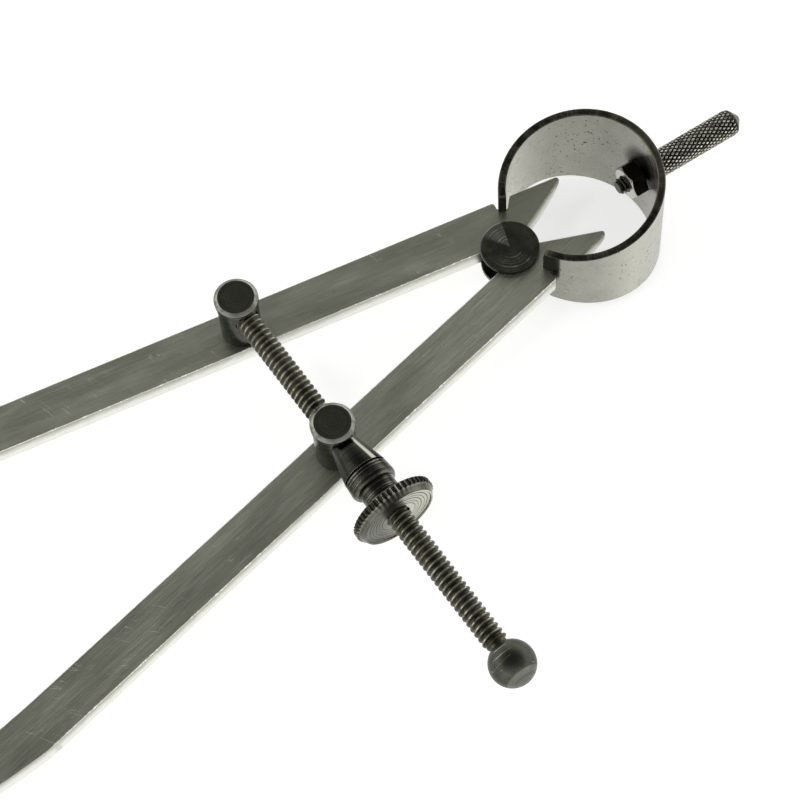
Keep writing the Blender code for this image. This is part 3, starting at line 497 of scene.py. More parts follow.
# Painted light: the face option paints the ball lighter on its side towards the screw's free end, a painted
# reflection.
BLACK_BALL = black(
    "black_ball", (0.045, 0.047, 0.038), (0.085, 0.088, 0.072), 0.42, wear=0.0, specks=True,
    face=(1.0, 0.64, 0.69, (0.14, 0.145, 0.125), (0.11, 0.115, 0.098), 0.0),
)
BLACK_POST = black(
    "black_post", (0.022, 0.022, 0.017), (0.045, 0.044, 0.036), 0.24, lines=0.25, wear=0.3,
    bevel=(0.30, 0.30, 0.27),
    face=(1.0, 0.93, 0.98, (0.135, 0.138, 0.108), (0.095, 0.098, 0.076), 0.0),
)
# The spool carries painted sheen on its faces and painted shade on its walls.
BLACK_SPOOL = black(
    "black_spool", (0.075, 0.075, 0.061), (0.115, 0.115, 0.095), 0.28, lines=0.1, wear=0.3,
    side=(0.020, 0.020, 0.016), painted_sheen_sectors=True,
)
# The collar's strip is a painted highlight along its cone.
BLACK_COLLAR = black(
    "black_collar", (0.016, 0.016, 0.013), (0.030, 0.030, 0.024), 0.20, lines=0.15,
    strip=(math.radians(149), math.radians(9), (0.40, 0.40, 0.35)),
)
BLACK_THREAD = black(
    "black_thread", (0.045, 0.043, 0.029), (0.095, 0.091, 0.064), 0.36, wear=0.0,
    crest=(1.80 * MM, 1.82 * MM, 0.7, (0.50, 0.50, 0.43)),
)
BLACK_STUD = black(
    "black_stud", (0.022, 0.022, 0.018), (0.05, 0.05, 0.042), 0.25, wear=0.0,
    crest=(1.24 * MM, 1.3 * MM, 0.3, (0.3, 0.3, 0.26)),
)
BLACK_HEX = black(
    "black_hex", (0.016, 0.015, 0.011), (0.030, 0.028, 0.021), 0.30, wear=0.2,
    face=(-1.0, 0.6, 0.8, (0.62, 0.62, 0.56), (0.50, 0.50, 0.45), 0.0),
)
# The nut's face is painted darker towards -Y, a painted shade.
BLACK_NUT = black(
    "black_nut", (0.018, 0.018, 0.014), (0.038, 0.037, 0.030), 0.26, lines=1.0, wear=0.2,
    crest=(6.38 * MM, 6.48 * MM, 0.6, (0.62, 0.61, 0.53)), bevel=(0.20, 0.20, 0.175),
    face=(1.0, 0.95, 0.99, (0.50, 0.51, 0.42), (0.43, 0.44, 0.36), 0.85),
)
BLACK_KNURL = black(
    "black_knurl", (0.040, 0.038, 0.030), (0.09, 0.085, 0.068), 0.3, wear=0.0,
    crest=(2.03 * MM, 2.12 * MM, 0.95, (0.75, 0.74, 0.66)),
)


# Geometry helpers
def finish_mesh(name, bm, angle=SHARP_ANGLE):
    """The mesh, shaded smooth up to edges that are sharper than the angle in degrees."""
    data = bpy.data.meshes.new(name)
    bm.normal_update()
    bm.to_mesh(data)
    bm.free()
    data.shade_smooth()
    data.set_sharp_from_angle(angle=math.radians(angle))
    return data


def put(name, data, place, mat, body, slot_name, *nodes):
    """Adds a piece in the tool frame and hands it to its body, in place of the nodes."""
    obj = bpy.data.objects.new(name, data)
    bpy.context.scene.collection.objects.link(obj)
    obj.matrix_world = TOOL @ place
    if mat:
        data.materials.append(mat)
    if nodes:
        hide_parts(*nodes)
    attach(obj, body)
    return obj


def even_faces(obj):
    """Keeps the shading of large faces flat up to their rounded edges."""
    step = obj.modifiers.new("even", "WEIGHTED_NORMAL")
    step.keep_sharp = True


def circle(radius, height, turns):
    return [(radius * math.cos(t), radius * math.sin(t), height) for t in turns]


def on_screw(x):
    """A place along the screw's axis, with Z along it."""
    return Matrix.Translation((x, POST_Y, SCREW_Z)) @ TURN_X


def turned_mesh(name, profile, segments=ROUND_SEGMENTS, closed=False):
    """Spins (radius, height) points about Z."""
    bm = bmesh.new()
    rings = []
    turns = [2 * math.pi * i / segments for i in range(segments)]
    for radius, height in profile:
        points = [(0, 0, height)] if radius < TINY else circle(radius, height, turns)
        rings.append([bm.verts.new(point) for point in points])
    for upper, lower in zip(rings, rings[1:] + (rings[:1] if closed else [])):
        for i in range(segments):
            j = (i + 1) % segments
            a, b = upper[i % len(upper)], upper[j % len(upper)]
            c, d = lower[j % len(lower)], lower[i % len(lower)]
            corners = []
            for v in (a, d, c, b):
                if v not in corners:
                    corners.append(v)
            if len(corners) > 2:
                bm.faces.new(corners)
    return finish_mesh(name, bm)


def rounded(points, radius):
    """A profile whose inner corners are rounded by small arcs."""
    steps = 3
    longest_share = 0.45
    result = [points[0]]
    for before, corner, after in zip(points, points[1:], points[2:]):
        c = Vector(corner)
        a = Vector(before) - c
        b = Vector(after) - c
        cut = min(radius, a.length * longest_share, b.length * longest_share)
        if cut < TINY:
            result.append(corner)
            continue
        start = c + a.normalized() * cut
        end = c + b.normalized() * cut
        for i in range(steps + 1):
            t = i / steps
            p = start.lerp(c, t).lerp(c.lerp(end, t), t)
            result.append((p.x, p.y))
    result.append(points[-1])
    return result


def loose(data, matrix):
    """An object that only a cut needs."""
    obj = bpy.data.objects.new("cutter", data)
    bpy.context.scene.collection.objects.link(obj)
    obj.matrix_world = matrix
    return obj


def boolean(data, cuts, angle=SHARP_ANGLE):
    """The mesh with each (mesh, matrix) cut away."""
    host = loose(data, Matrix())
    tools = [loose(mesh, matrix) for mesh, matrix in cuts]
    for tool in tools:
        step = host.modifiers.new("cut", "BOOLEAN")
        step.operation = "DIFFERENCE"
        step.solver = "EXACT"
        step.object = tool
    bpy.context.view_layer.update()
    depsgraph = bpy.context.evaluated_depsgraph_get()
    made = bpy.data.meshes.new_from_object(host.evaluated_get(depsgraph))
    for obj in [host] + tools:
        bpy.data.objects.remove(obj)
    made.name = data.name
    made.shade_smooth()
    made.set_sharp_from_angle(angle=math.radians(angle))
    return made


def cylinder(radius, length):
    bm = bmesh.new()
    bmesh.ops.create_cone(
        bm, cap_ends=True, segments=BORE_SEGMENTS, radius1=radius, radius2=radius, depth=length
    )
    return finish_mesh("cylinder", bm)


def block(size):
    bm = bmesh.new()
    bmesh.ops.create_cube(bm, size=1.0)
    bmesh.ops.scale(bm, vec=size, verts=bm.verts)
    return finish_mesh("block", bm)


def arc(radius, start, end, steps):
    angles = [start + (end - start) * i / steps for i in range(steps + 1)]
    return [Vector((radius * math.cos(t), radius * math.sin(t))) for t in angles]


def round_corner(before, corner, after, radius, steps):
    """The points of an arc that rounds a corner between two straight lines."""
    arm = (before - corner).normalized()
    other = (after - corner).normalized()
    half = arm.angle(other) / 2
    middle = corner + (arm + other).normalized() * (radius / math.sin(half))
    spoke = corner + arm * (radius / math.tan(half)) - middle
    turn = math.copysign(math.pi - 2 * half, arm.cross(other))
    return [middle + Matrix.Rotation(-turn * i / steps, 2) @ spoke for i in range(steps + 1)]


def plane_cut(bm, point, normal):
    """Cuts away what lies on the normal's side of the plane and closes the cut."""
    geometry = bm.verts[:] + bm.edges[:] + bm.faces[:]
    result = bmesh.ops.bisect_plane(
        bm, geom=geometry, dist=TINY, plane_co=point, plane_no=normal, clear_outer=True
    )
    rim = [item for item in result["geom_cut"] if isinstance(item, bmesh.types.BMEdge)]
    bmesh.ops.edgeloop_fill(bm, edges=rim)


# Legs
def strip_outside(side, angle):
    """A point on the bow's outer face, and the directions along the strip and into its wall."""
    sine, cosine = math.sin(angle), math.cos(angle)
    outer = Vector((side * BOW_A * sine, BOW_Y + BOW_B * cosine, 0))
    along = Vector((side * BOW_A * cosine, -BOW_B * sine, 0)).normalized()
    inward = Vector((side * along.y, -side * along.x, 0))
    return outer, along, inward


def strip_frame(side, angle):
    """The same at the middle of the wall."""
    outer, along, inward = strip_outside(side, angle)
    return outer + inward * (BOW_WALL / 2), along, inward


def notch_outline():
    """The rounded notch in the leg's outer side that takes the bow's hook."""
    root, along, _ = strip_frame(1, BOW_ROOT)
    _, _, inward = strip_frame(1, BOW_NOTCH)
    to_leg = Matrix.Rotation(-LEG_ANGLE, 3, "Z")
    floor = (to_leg @ (root + along * SEAT_GAP)).to_2d()
    up = (to_leg @ inward).to_2d()
    low = Vector((LEG_OUTER, NOTCH_LOW))
    high = Vector((LEG_OUTER, NOTCH_HIGH))
    low_floor = floor - up * NOTCH_HALF
    high_floor = floor + up * NOTCH_HALF
    outline = round_corner(Vector((LEG_OUTER, -LEG_LENGTH)), low, low_floor, NOTCH_MOUTH_ROUND, 5)
    outline += round_corner(low, low_floor, high_floor, NOTCH_FLOOR_ROUND, 4)
    outline += round_corner(low_floor, high_floor, high, NOTCH_FLOOR_ROUND, 4)
    outline += round_corner(high_floor, high, Vector((LEG_OUTER, TONGUE)), NOTCH_MOUTH_ROUND, 5)
    return outline


def leg_outline():
    bottom = -LEG_LENGTH - LEG_WIDTH
    shoulder = Vector((LEG_INNER, -(LEG_LENGTH - LEG_TAPER)))
    slant = (POINT_OFFSET - POINT_HALF - LEG_INNER) / LEG_TAPER
    bevel = Vector((math.cos(TONGUE_ANGLE), math.sin(TONGUE_ANGLE)))
    corner = Vector((LEG_OUTER, LEG_OUTER * bevel.y / bevel.x + TONGUE_OFFSET / bevel.x))
    radius = SPOOL_CORE + PIN_GAP
    start = TONGUE_ANGLE + math.asin(TONGUE_OFFSET / radius)
    end = -math.acos(LEG_INNER / radius)
    outline = [Vector((LEG_OUTER, bottom))] + notch_outline()
    outline += round_corner(Vector((LEG_OUTER, 0)), corner, corner - bevel, TONGUE_ROUND, 9)
    outline += arc(radius, start, end, 40)
    outline += [shoulder, Vector((LEG_INNER + slant * (shoulder.y - bottom), bottom))]
    return outline


def leg(label, side):
    """An extruded outline with rounded rims, cut to its taper, its point and its ground tongue."""
    sharp_angle = 28
    taper_cuts = 14
    bm = bmesh.new()
    base = bm.faces.new([bm.verts.new((p.x, p.y, -HALF_T)) for p in leg_outline()])
    raised = bmesh.ops.extrude_face_region(bm, geom=[base])["geom"]
    top = [v for v in raised if isinstance(v, bmesh.types.BMVert)]
    bmesh.ops.translate(bm, vec=(0, 0, LEG_THICKNESS), verts=top)
    bmesh.ops.recalc_face_normals(bm, faces=bm.faces)
    rims = [e for e in bm.edges if abs(e.verts[0].co.z - e.verts[1].co.z) < TINY]
    bmesh.ops.bevel(bm, geom=rims, offset=LEG_ROUND, segments=4, profile=0.5, affect="EDGES")
    start = Vector((LEG_OUTER, -(LEG_LENGTH - LEG_TAPER), 0))
    bend = start - Vector((0, LEG_BEND, 0))
    end = Vector((POINT_OFFSET + POINT_HALF, -LEG_LENGTH, 0))
    for i in range(1, taper_cuts + 1):
        t = i / taper_cuts
        run = (bend - start).lerp(end - bend, t)
        point = start.lerp(bend, t).lerp(bend.lerp(end, t), t)
        plane_cut(bm, point, Vector((-run.y, run.x, 0)))
    for z in (1, -1):
        slope = Vector((0, POINT_HALF - HALF_T, z * LEG_POINT))
        plane_cut(bm, Vector((0, -LEG_LENGTH, z * POINT_HALF)), slope)
    plane_cut(bm, Vector((0, -LEG_LENGTH, 0)), Vector((0, -1, 0)))
    slopes = [(GRIND_START, -HALF_T), (GRIND_MIDDLE, GRIND_DEPTH - HALF_T), (TONGUE, HALF_T - GRIND_TIP)]
    for (y, z), (next_y, next_z) in zip(slopes, slopes[1:]):
        plane_cut(bm, Vector((0, y, z)), Vector((0, next_z - z, y - next_y)))
    if side < 0:
        bmesh.ops.scale(bm, vec=(-1, 1, 1), verts=bm.verts)
    bmesh.ops.recalc_face_normals(bm, faces=bm.faces)
    node = label + "_leg"
    data = finish_mesh(node + "_look", bm, sharp_angle)
    hole = Matrix.Translation((side * LEG_MID, -POST_DISTANCE, 0))
    data = boolean(data, [(cylinder(POST_SHANK_R + PIN_GAP, 3 * LEG_THICKNESS), hole)], sharp_angle)
    place = Matrix.Rotation(side * LEG_ANGLE, 4, "Z")
    steel = LEFT_STEEL if side < 0 else RIGHT_STEEL
    even_faces(put(node + "_look", data, place, steel, node, "bright_steel", node))


# Bow
def handle_frame(distance):
    """A place on the handle's axis, that far from the bow's centre, with Z out along the handle."""
    direction = Matrix.Rotation(-HANDLE_LEAN, 4, "Z") @ Matrix.Rotation(math.radians(-90), 4, "X")
    return Matrix.Translation((0, BOW_Y, 0)) @ direction @ Matrix.Translation((0, 0, distance))


def bow():
    """Swept by rows round the strip: a rounded rectangle whose width follows the taper."""
    rows = 260
    corner_rows = 8
    rim_points = 5
    sharp_angle = 35
    # The faces of each row that lie on the strip's outer and inner walls
    wall_faces = (0, 9, 18, 19)
    bm = bmesh.new()
    rings = []
    turns = np.linspace(0, math.pi / 2, rim_points)
    quarter = [(BOW_ROUND * (1 - math.cos(t)), BOW_ROUND * (1 - math.sin(t))) for t in turns]
    reach = BOW_CORNER / BOW_B
    turns = [math.pi / 2 * i / corner_rows for i in range(corner_rows)]
    corners = [(reach * (1 - math.cos(t)), BOW_CORNER * (1 - math.sin(t))) for t in turns]
    first = reach - BOW_LEFT_END
    last = BOW_RIGHT_END - reach
    stations = [(back - BOW_LEFT_END, drop) for back, drop in corners]
    stations += [(first + (last - first) * i / rows, 0.0) for i in range(rows + 1)]
    stations += [(BOW_RIGHT_END - back, drop) for back, drop in reversed(corners)]
    for angle, drop in stations:
        outer, _, inward = strip_outside(1, angle)
        half = BOW_MID_HALF + (BOW_TOP_HALF - BOW_MID_HALF) * math.cos(angle) - drop
        ring = [(d, half - h) for d, h in quarter]
        ring += [(BOW_WALL - d, half - h) for d, h in reversed(quarter)]
        ring += [(d, -z) for d, z in reversed(ring)]
        rings.append([bm.verts.new(outer + inward * d + Vector((0, 0, z))) for d, z in ring])
    count = len(rings[0])
    for before, after in zip(rings, rings[1:]):
        for i in range(count):
            j = (i + 1) % count
            face = bm.faces.new((before[i], before[j], after[j], after[i]))
            face.material_index = 0 if i in wall_faces else 1
    bm.faces.new(rings[0][::-1]).material_index = 1
    bm.faces.new(rings[-1]).material_index = 1
    bmesh.ops.recalc_face_normals(bm, faces=bm.faces)
    data = finish_mesh("bow_look", bm, sharp_angle)
    data.materials.append(BOW_STEEL)
    data.materials.append(EDGE_STEEL)
    cuts = []
    for _, side in SIDES:
        root, along, inward = strip_frame(side, BOW_ROOT)
        turn = Matrix((along, inward, Vector((0, 0, side)))).transposed().to_4x4()
        tool = block((BOW_SLOT_RUN, 3 * BOW_WALL, LEG_THICKNESS + 2 * SEAT_GAP))
        tool.materials.append(EDGE_STEEL)
        cuts.append((tool, Matrix.Translation(root + along * (BOW_SLOT_RUN / 2)) @ turn))
    cuts.append((cylinder(STUD_R + PIN_GAP, 6 * BOW_WALL), handle_frame(BOW_B - BOW_WALL / 2)))
    data = boolean(data, cuts, sharp_angle)
    even_faces(put("bow_look", data, Matrix(), None, "bow", "bow_steel", "bow_spring"))


# Turned pieces
def spool():
    top = SPOOL_TOP
    groove = HALF_T + SEAT_GAP
    chamfer = 0.1 * MM
    soft = 0.03 * MM
    inner = 0.05 * MM
    upper = [
        (0, top), (SPOOL_R - 2 * chamfer, top), (SPOOL_R - chamfer, top), (SPOOL_R - soft, top - soft),
        (SPOOL_R, top - chamfer), (SPOOL_R, groove + inner), (SPOOL_R - inner, groove),
        (SPOOL_CORE, groove),
    ]
    lower = [(r, -z) for r, z in reversed(upper)]
    data = turned_mesh("spool_look", upper + lower, segments=160)
    put("spool_look", data, Matrix(), BLACK_SPOOL, "fulcrum", "black_steel", "fulcrum_spool")


def post(label, side):
    """A swivel post: chamfered head with a fine groove, neck, body, shank and tapped hole."""
    foot = HALF_T + SEAT_GAP
    top = HALF_T + POST_HEIGHT
    low = top - POST_HEAD_T
    deep = SHANK_END + POST_TAPPED_DEPTH
    face = [(0, top), (2.4 * MM, top), (2.58 * MM, top), (POST_FACE_R, top)]
    rim = [(POST_HEAD_R, top - POST_CHAMFER), (POST_HEAD_R, top - 0.82 * MM)]
    groove = [(3.2 * MM, top - 0.88 * MM), (3.26 * MM, top - 0.96 * MM), (3.26 * MM, low)]
    neck = [(POST_NECK_R, low - 0.03 * MM), (POST_NECK_R, low - 0.22 * MM)]
    body = [(POST_BODY_R, low - 0.27 * MM), (POST_BODY_R, foot)]
    shank = [(POST_SHANK_R, foot), (POST_SHANK_R, SHANK_END)]
    tapped = [(POST_TAPPED_R, SHANK_END), (POST_TAPPED_R, deep), (0, deep)]
    profile = rounded(face + rim + groove + neck + body + shank + tapped, TURNED_ROUND)
    node = label + "_post"
    data = turned_mesh(node + "_look", profile)
    far = 7 * MM
    start = -SCREW_BLIND - SEAT_GAP if side < 0 else -far
    cuts = [(cylinder(SCREW_BORE, far - start), Matrix.Translation(((far + start) / 2, 0, SCREW_Z)) @ TURN_X)]
    if side > 0:
        seat_start = POST_BODY_R - COLLAR_SEAT
        seat_length = POST_BODY_R
        middle = Matrix.Translation((seat_start + seat_length / 2, 0, SCREW_Z))
        cuts.append((cylinder(COLLAR_NOSE + PIN_GAP, seat_length), middle @ TURN_X))
    data = boolean(data, cuts)
    place = Matrix.Translation((side * POST_X, POST_Y, 0))
    put(node + "_look", data, place, BLACK_POST, label + "_swivel", "black_steel", node)


def fastening(label, side):
    """The washer and the slotted screw under a post."""
    hole = POST_SCREW_R + PIN_GAP
    top = SHANK_END - SEAT_GAP
    low = top - WASHER_T
    ring = [(WASHER_R, top), (WASHER_R, low), (hole, low), (hole, top)]
    loop = [ring[-1]] + ring + [ring[0]]
    name = label + "_washer_look"
    data = turned_mesh(name, rounded(loop, TURNED_ROUND)[1:-1], segments=96, closed=True)
    place = Matrix.Translation((side * POST_X, POST_Y, 0))
    put(name, data, place, BLACK_TOP, label + "_swivel", "black_steel", label + "_post_washer")
    head = low - SEAT_GAP
    bottom = head - POST_SCREW_HEAD_T
    shank_top = SHANK_END + POST_TAPPED_DEPTH - SEAT_GAP
    profile = [
        (0, shank_top), (POST_SCREW_R, shank_top), (POST_SCREW_R, head), (POST_SCREW_HEAD_R, head),
        (POST_SCREW_HEAD_R, bottom + 0.25 * MM), (POST_SCREW_HEAD_R - 0.15 * MM, bottom), (0, bottom),
    ]
    name = label + "_screw_look"
    data = turned_mesh(name, rounded(profile, 0.1 * MM), segments=96)
    slot = block((6 * MM, POST_SCREW_SLOT, 2 * POST_SCREW_SLOT_DEPTH))
    slot_turn = math.radians(35)
    turn = Matrix.Translation((0, 0, bottom)) @ Matrix.Rotation(side * slot_turn, 4, "Z")
    data = boolean(data, [(slot, turn)])
    put(name, data, place, BLACK_TOP, label + "_swivel", "black_steel", label + "_post_screw")


def thread_mesh(name, start, end, pitch, major, depth, around, along, plain_start=0.0, plain_end=0.0):
    """A right-hand thread with rounded crests and roots, closed at both ends.

    around and along are its points for one turn and for one pitch.
    """
    root, crest = 0.86, 0.20
    smooth = 0.35
    run_out = 0.6 * pitch
    steps = int((end - start) / pitch * along)
    z = np.linspace(start, end, steps + 1)
    theta = np.arange(around) * 2 * math.pi / around
    phase = (z[:, None] / pitch - theta[None, :] / (2 * math.pi)) % 1.0
    away = np.abs(((phase + 0.5) % 1.0) - 0.5) * 2
    shape = np.clip((root - away) / (root - crest), 0.0, 1.0)
    shape = shape * shape * (3 - 2 * shape) * smooth + shape * (1 - smooth)
    fade = np.minimum((z - start - plain_start) / run_out, (end - plain_end - z) / run_out)
    fade = np.clip(fade, 0.0, 1.0)[:, None]
    radius = major - depth * (1.0 - shape * fade)
    heights = np.repeat(z[:, None], around, axis=1)
    co = np.stack([radius * np.cos(theta), radius * np.sin(theta), heights], axis=2).reshape(-1, 3)
    faces = []
    for i in range(steps):
        a = i * around
        for j in range(around):
            k = (j + 1) % around
            faces.append((a + j, a + k, a + around + k, a + around + j))
    faces.append(tuple(range(around - 1, -1, -1)))
    faces.append(tuple(range(steps * around, (steps + 1) * around)))
    data = bpy.data.meshes.new(name)
    data.from_pydata(co.tolist(), [], faces)
    data.shade_smooth()
    data.set_sharp_from_angle(angle=math.radians(50))
    return data


def screw():
    """The threaded rod and the plain spigot that carries the ball."""
    end = 2 * POST_X + SCREW_REACH
    rod = thread_mesh(
        "screw_look", -SCREW_BLIND, end, SCREW_PITCH, SCREW_R, THREAD_DEPTH, around=56, along=20,
        plain_end=THREAD_PLAIN_END,
    )
    put("screw_look", rod, on_screw(-POST_X), BLACK_THREAD, "left_swivel", "black_steel", "adjusting_screw")
    sunk = 0.001 * MM
    profile = [(0, SPIGOT_LENGTH), (SPIGOT_R, SPIGOT_LENGTH), (SPIGOT_R, sunk), (0, sunk)]
    spigot = turned_mesh("spigot_look", profile, segments=64)
    put("spigot_look", spigot, on_screw(POST_X + SCREW_REACH), BLACK_THREAD, "left_swivel", "black_steel")


def ball():
    points = [(p.x, p.y) for p in arc(BALL_R, math.pi / 2, -math.atan2(BALL_FLAT, SCREW_R), 72)]
    points[0] = (0.0, BALL_R)
    bore = SPIGOT_R + PIN_GAP
    depth = SPIGOT_LENGTH - BALL_FLAT
    profile = points + [(bore, -BALL_FLAT), (bore, depth), (0, depth)]
    data = turned_mesh("ball_look", profile, segments=144)
    place = on_screw(POST_X + SCREW_REACH + SEAT_GAP + BALL_FLAT)
    put("ball_look", data, place, BLACK_BALL, "left_swivel", "black_steel", "stop_ball")


def collar():
    ring = [(SCREW_BORE, COLLAR_LENGTH), (COLLAR_FACE, COLLAR_LENGTH), (COLLAR_NOSE, 0), (SCREW_BORE, 0)]
    profile = rounded(ring + ring[:2], 0.05 * MM)[1:-1]
    data = turned_mesh("collar_look", profile, closed=True)
    put("collar_look", data, on_screw(COLLAR_X), BLACK_COLLAR, "right_swivel", "black_steel", "thrust_collar")


def nut():
    """Body, neck and dished flange with a fluted rim, as (radius, height, share of a tooth) stations."""
    front = 8.4 * MM
    dish = front - 0.25 * MM
    knurl_end = 7.3 * MM
    flange = 6.2 * MM
    root = 6.2 * MM
    neck = 2.8 * MM

    # The dished face with its turned rings
    stations = [(SCREW_BORE, dish, 0), (2.6 * MM, dish, 0)]
    for k in range(5):
        r = 2.75 * MM + k * 0.52 * MM
        z = dish + 0.02 * MM * (k % 2)
        stations += [(r, z, 0), (r + 0.08 * MM, z - 0.035 * MM, 0), (r + 0.2 * MM, z, 0)]

    # The face's rim, the chamfer, the teeth and the flange's back
    stations += [
        (5.35 * MM, front - 0.22 * MM, 0), (5.45 * MM, front - 0.02 * MM, 0), (5.58 * MM, front, 0),
        (5.7 * MM, front - 0.02 * MM, 0), (root - 0.02 * MM, knurl_end + 0.24 * MM, 0),
        (root, knurl_end + 0.18 * MM, 0.25), (root, knurl_end + 0.04 * MM, 0.9),
        (root, knurl_end - 0.08 * MM, 1.0), (root, flange + 0.3 * MM, 1.0),
        (root, flange + 0.16 * MM, 0.8), (root - 0.02 * MM, flange + 0.04 * MM, 0),
        (root - 0.12 * MM, flange, 0), (neck + 0.15 * MM, flange, 0), (neck, flange - 0.1 * MM, 0),
    ]

    # Turning marks down the neck, the rounded shoulder and marks down the body
    for k in range(16):
        z = flange - 0.25 * MM - k * LATHE_STEP
        stations += [(neck, z, 0), (neck - 0.015 * MM, z - LATHE_STEP / 2, 0)]
    for k in range(9):
        turn = math.pi / 2 * k / 8
        r = neck + (NUT_SHOULDER_R - neck) * math.sin(turn)
        stations.append((r, NUT_BODY_LENGTH + NUT_SHOULDER_LENGTH * math.cos(turn), 0))
    for k in range(7):
        z = NUT_BODY_LENGTH - 0.12 * MM - k * LATHE_STEP
        r = NUT_SHOULDER_R - (NUT_SHOULDER_R - NUT_BODY_R) * (NUT_BODY_LENGTH - z) / NUT_BODY_LENGTH
        stations += [(r, z, 0), (r - 0.02 * MM, z - LATHE_STEP / 2, 0)]
    stations += [
        (NUT_BODY_R, 0.15 * MM, 0), (NUT_BODY_R - 0.15 * MM, 0, 0), (SCREW_BORE + 0.05 * MM, 0, 0),
        (SCREW_BORE, 0.05 * MM, 0),
    ]

    per_tooth = len(TOOTH_SHAPE)
    columns = NUT_TEETH * per_tooth
    bm = bmesh.new()
    rings = []
    for radius, height, share in stations:
        ring = []
        for i in range(columns):
            angle = 2 * math.pi * i / columns
            reach = radius + NUT_TOOTH_DEPTH * share * TOOTH_SHAPE[i % per_tooth]
            ring.append(bm.verts.new((reach * math.cos(angle), reach * math.sin(angle), height)))
        rings.append(ring)
    for ring, following in zip(rings, rings[1:] + rings[:1]):
        for i in range(columns):
            j = (i + 1) % columns
            bm.faces.new((ring[j], ring[i], following[i], following[j]))
    data = finish_mesh("nut_look", bm, angle=32)
    place = on_screw(COLLAR_X + COLLAR_LENGTH + SEAT_GAP)
    put("nut_look", data, place, BLACK_NUT, "nut", "black_steel", "adjusting_nut")


# Handle
def seat_depth():
    """How far the handle nut's outer face stands below the handle's base."""
    corner = HEX_FLATS / math.sqrt(3)
    inner = BOW_B - BOW_WALL
    return BOW_WALL + SEAT_GAP + inner - math.sqrt(inner**2 - corner**2) + SEAT_GAP


def knurl_radii(theta, z, length):
    """Radii of a diamond knurl with blunt pyramids, faded out at both ends."""
    sharpness = 1.35
    blunt = 0.8
    fade_in = 0.35 * MM
    fade_out = 0.5 * MM
    lead = 2 * math.pi * HANDLE_R / KNURL_STARTS / math.tan(KNURL_ANGLE)
    u = theta[None, :] * KNURL_STARTS / (2 * math.pi)
    v = z[:, None] / lead
    one = np.abs(((u + v) % 1.0) - 0.5) * 2
    two = np.abs(((u - v) % 1.0) - 0.5) * 2
    height = np.clip(np.minimum(1 - one, 1 - two) * sharpness, 0, blunt) / blunt
    ends = np.clip(np.minimum(z / fade_in, (length - z) / fade_out), 0, 1)[:, None]
    return HANDLE_R - KNURL_DEPTH * (1 - height * ends)


def handle():
    """The knurled stub with its blunt cone, and the threaded stud below it."""
    sunk = 0.02 * MM
    base_radius = 1.6 * MM
    points_per_start = 12
    rows = 300
    knurl = HANDLE_LENGTH - HANDLE_CONE
    around = KNURL_STARTS * points_per_start
    theta = np.arange(around) * 2 * math.pi / around
    z = np.linspace(0, knurl, rows + 1)
    radii = knurl_radii(theta, z, knurl)
    base = HANDLE_R - KNURL_DEPTH
    bm = bmesh.new()
    rings = [circle(STUD_R, -sunk, theta), circle(base_radius, 0.0, theta)]
    for row, height in zip(radii, z):
        rings.append([(r * math.cos(t), r * math.sin(t), height) for r, t in zip(row, theta)])
    for share in (0.03, 0.1, 0.5, 0.9):
        rings.append(circle(base + (HANDLE_TIP - base) * share, knurl + HANDLE_CONE * share, theta))
    rings.append(circle(HANDLE_TIP * 0.8, HANDLE_LENGTH - sunk, theta))
    rings.append(circle(HANDLE_TIP * 0.6, HANDLE_LENGTH, theta))
    rings = [[bm.verts.new(point) for point in ring] for ring in rings]
    for lower, upper in zip(rings, rings[1:]):
        for i in range(around):
            j = (i + 1) % around
            bm.faces.new((lower[i], lower[j], upper[j], upper[i]))
    bm.faces.new(rings[0][::-1])
    bm.faces.new(rings[-1])
    data = finish_mesh("handle_look", bm, angle=60)
    place = handle_frame(BOW_B + SEAT_GAP)
    put("handle_look", data, place, BLACK_KNURL, "bow", "black_steel", "handle")
    low = -(seat_depth() + HEX_T + STUD_OUT)
    stud = thread_mesh(
        "stud_look", low, -sunk, STUD_PITCH, STUD_R, STUD_DEPTH, around=48, along=16,
        plain_start=0.05 * MM,
    )
    put("stud_look", stud, place, BLACK_STUD, "bow", "black_steel")


def handle_nut():
    """A hexagon whose face is chamfered round by a hollow cone."""
    corner = HEX_FLATS / math.sqrt(3)
    bm = bmesh.new()
    bmesh.ops.create_cone(bm, cap_ends=True, segments=6, radius1=corner, radius2=corner, depth=HEX_T)
    turn = Matrix.Rotation(math.radians(30), 3, "Z")
    bmesh.ops.rotate(bm, cent=(0, 0, 0), matrix=turn, verts=bm.verts)
    sides = [e for e in bm.edges if abs(e.verts[0].co.z - e.verts[1].co.z) > HEX_T / 2]
    bmesh.ops.bevel(bm, geom=sides, offset=0.05 * MM, segments=2, profile=0.5, affect="EDGES")
    data = finish_mesh("handle_nut_look", bm, angle=40)
    low = -HEX_T / 2
    slope = math.tan(HEX_CHAMFER)
    reach = HEX_FLATS - HEX_FACE
    back = HEX_FACE / 4
    cone = [
        (HEX_FLATS, low + reach * slope), (HEX_FLATS, low - HEX_T), (HEX_FACE - back, low - HEX_T),
        (HEX_FACE - back, low - back * slope),
    ]
    ring = turned_mesh("cone_cut", cone, segments=192, closed=True)
    hole = cylinder(STUD_R + PIN_GAP, 2 * HEX_T)
    data = boolean(data, [(ring, Matrix()), (hole, Matrix())], angle=22)
    middle = BOW_B + SEAT_GAP - seat_depth() - HEX_T / 2
    put("handle_nut_look", data, handle_frame(middle), BLACK_HEX, "bow", "black_steel", "handle_nut")


bow()
for label, side in SIDES:
    leg(label, side)
spool()
for label, side in SIDES:
    post(label, side)
for label, side in SIDES:
    fastening(label, side)
screw()
ball()
collar()
nut()
handle()
handle_nut()

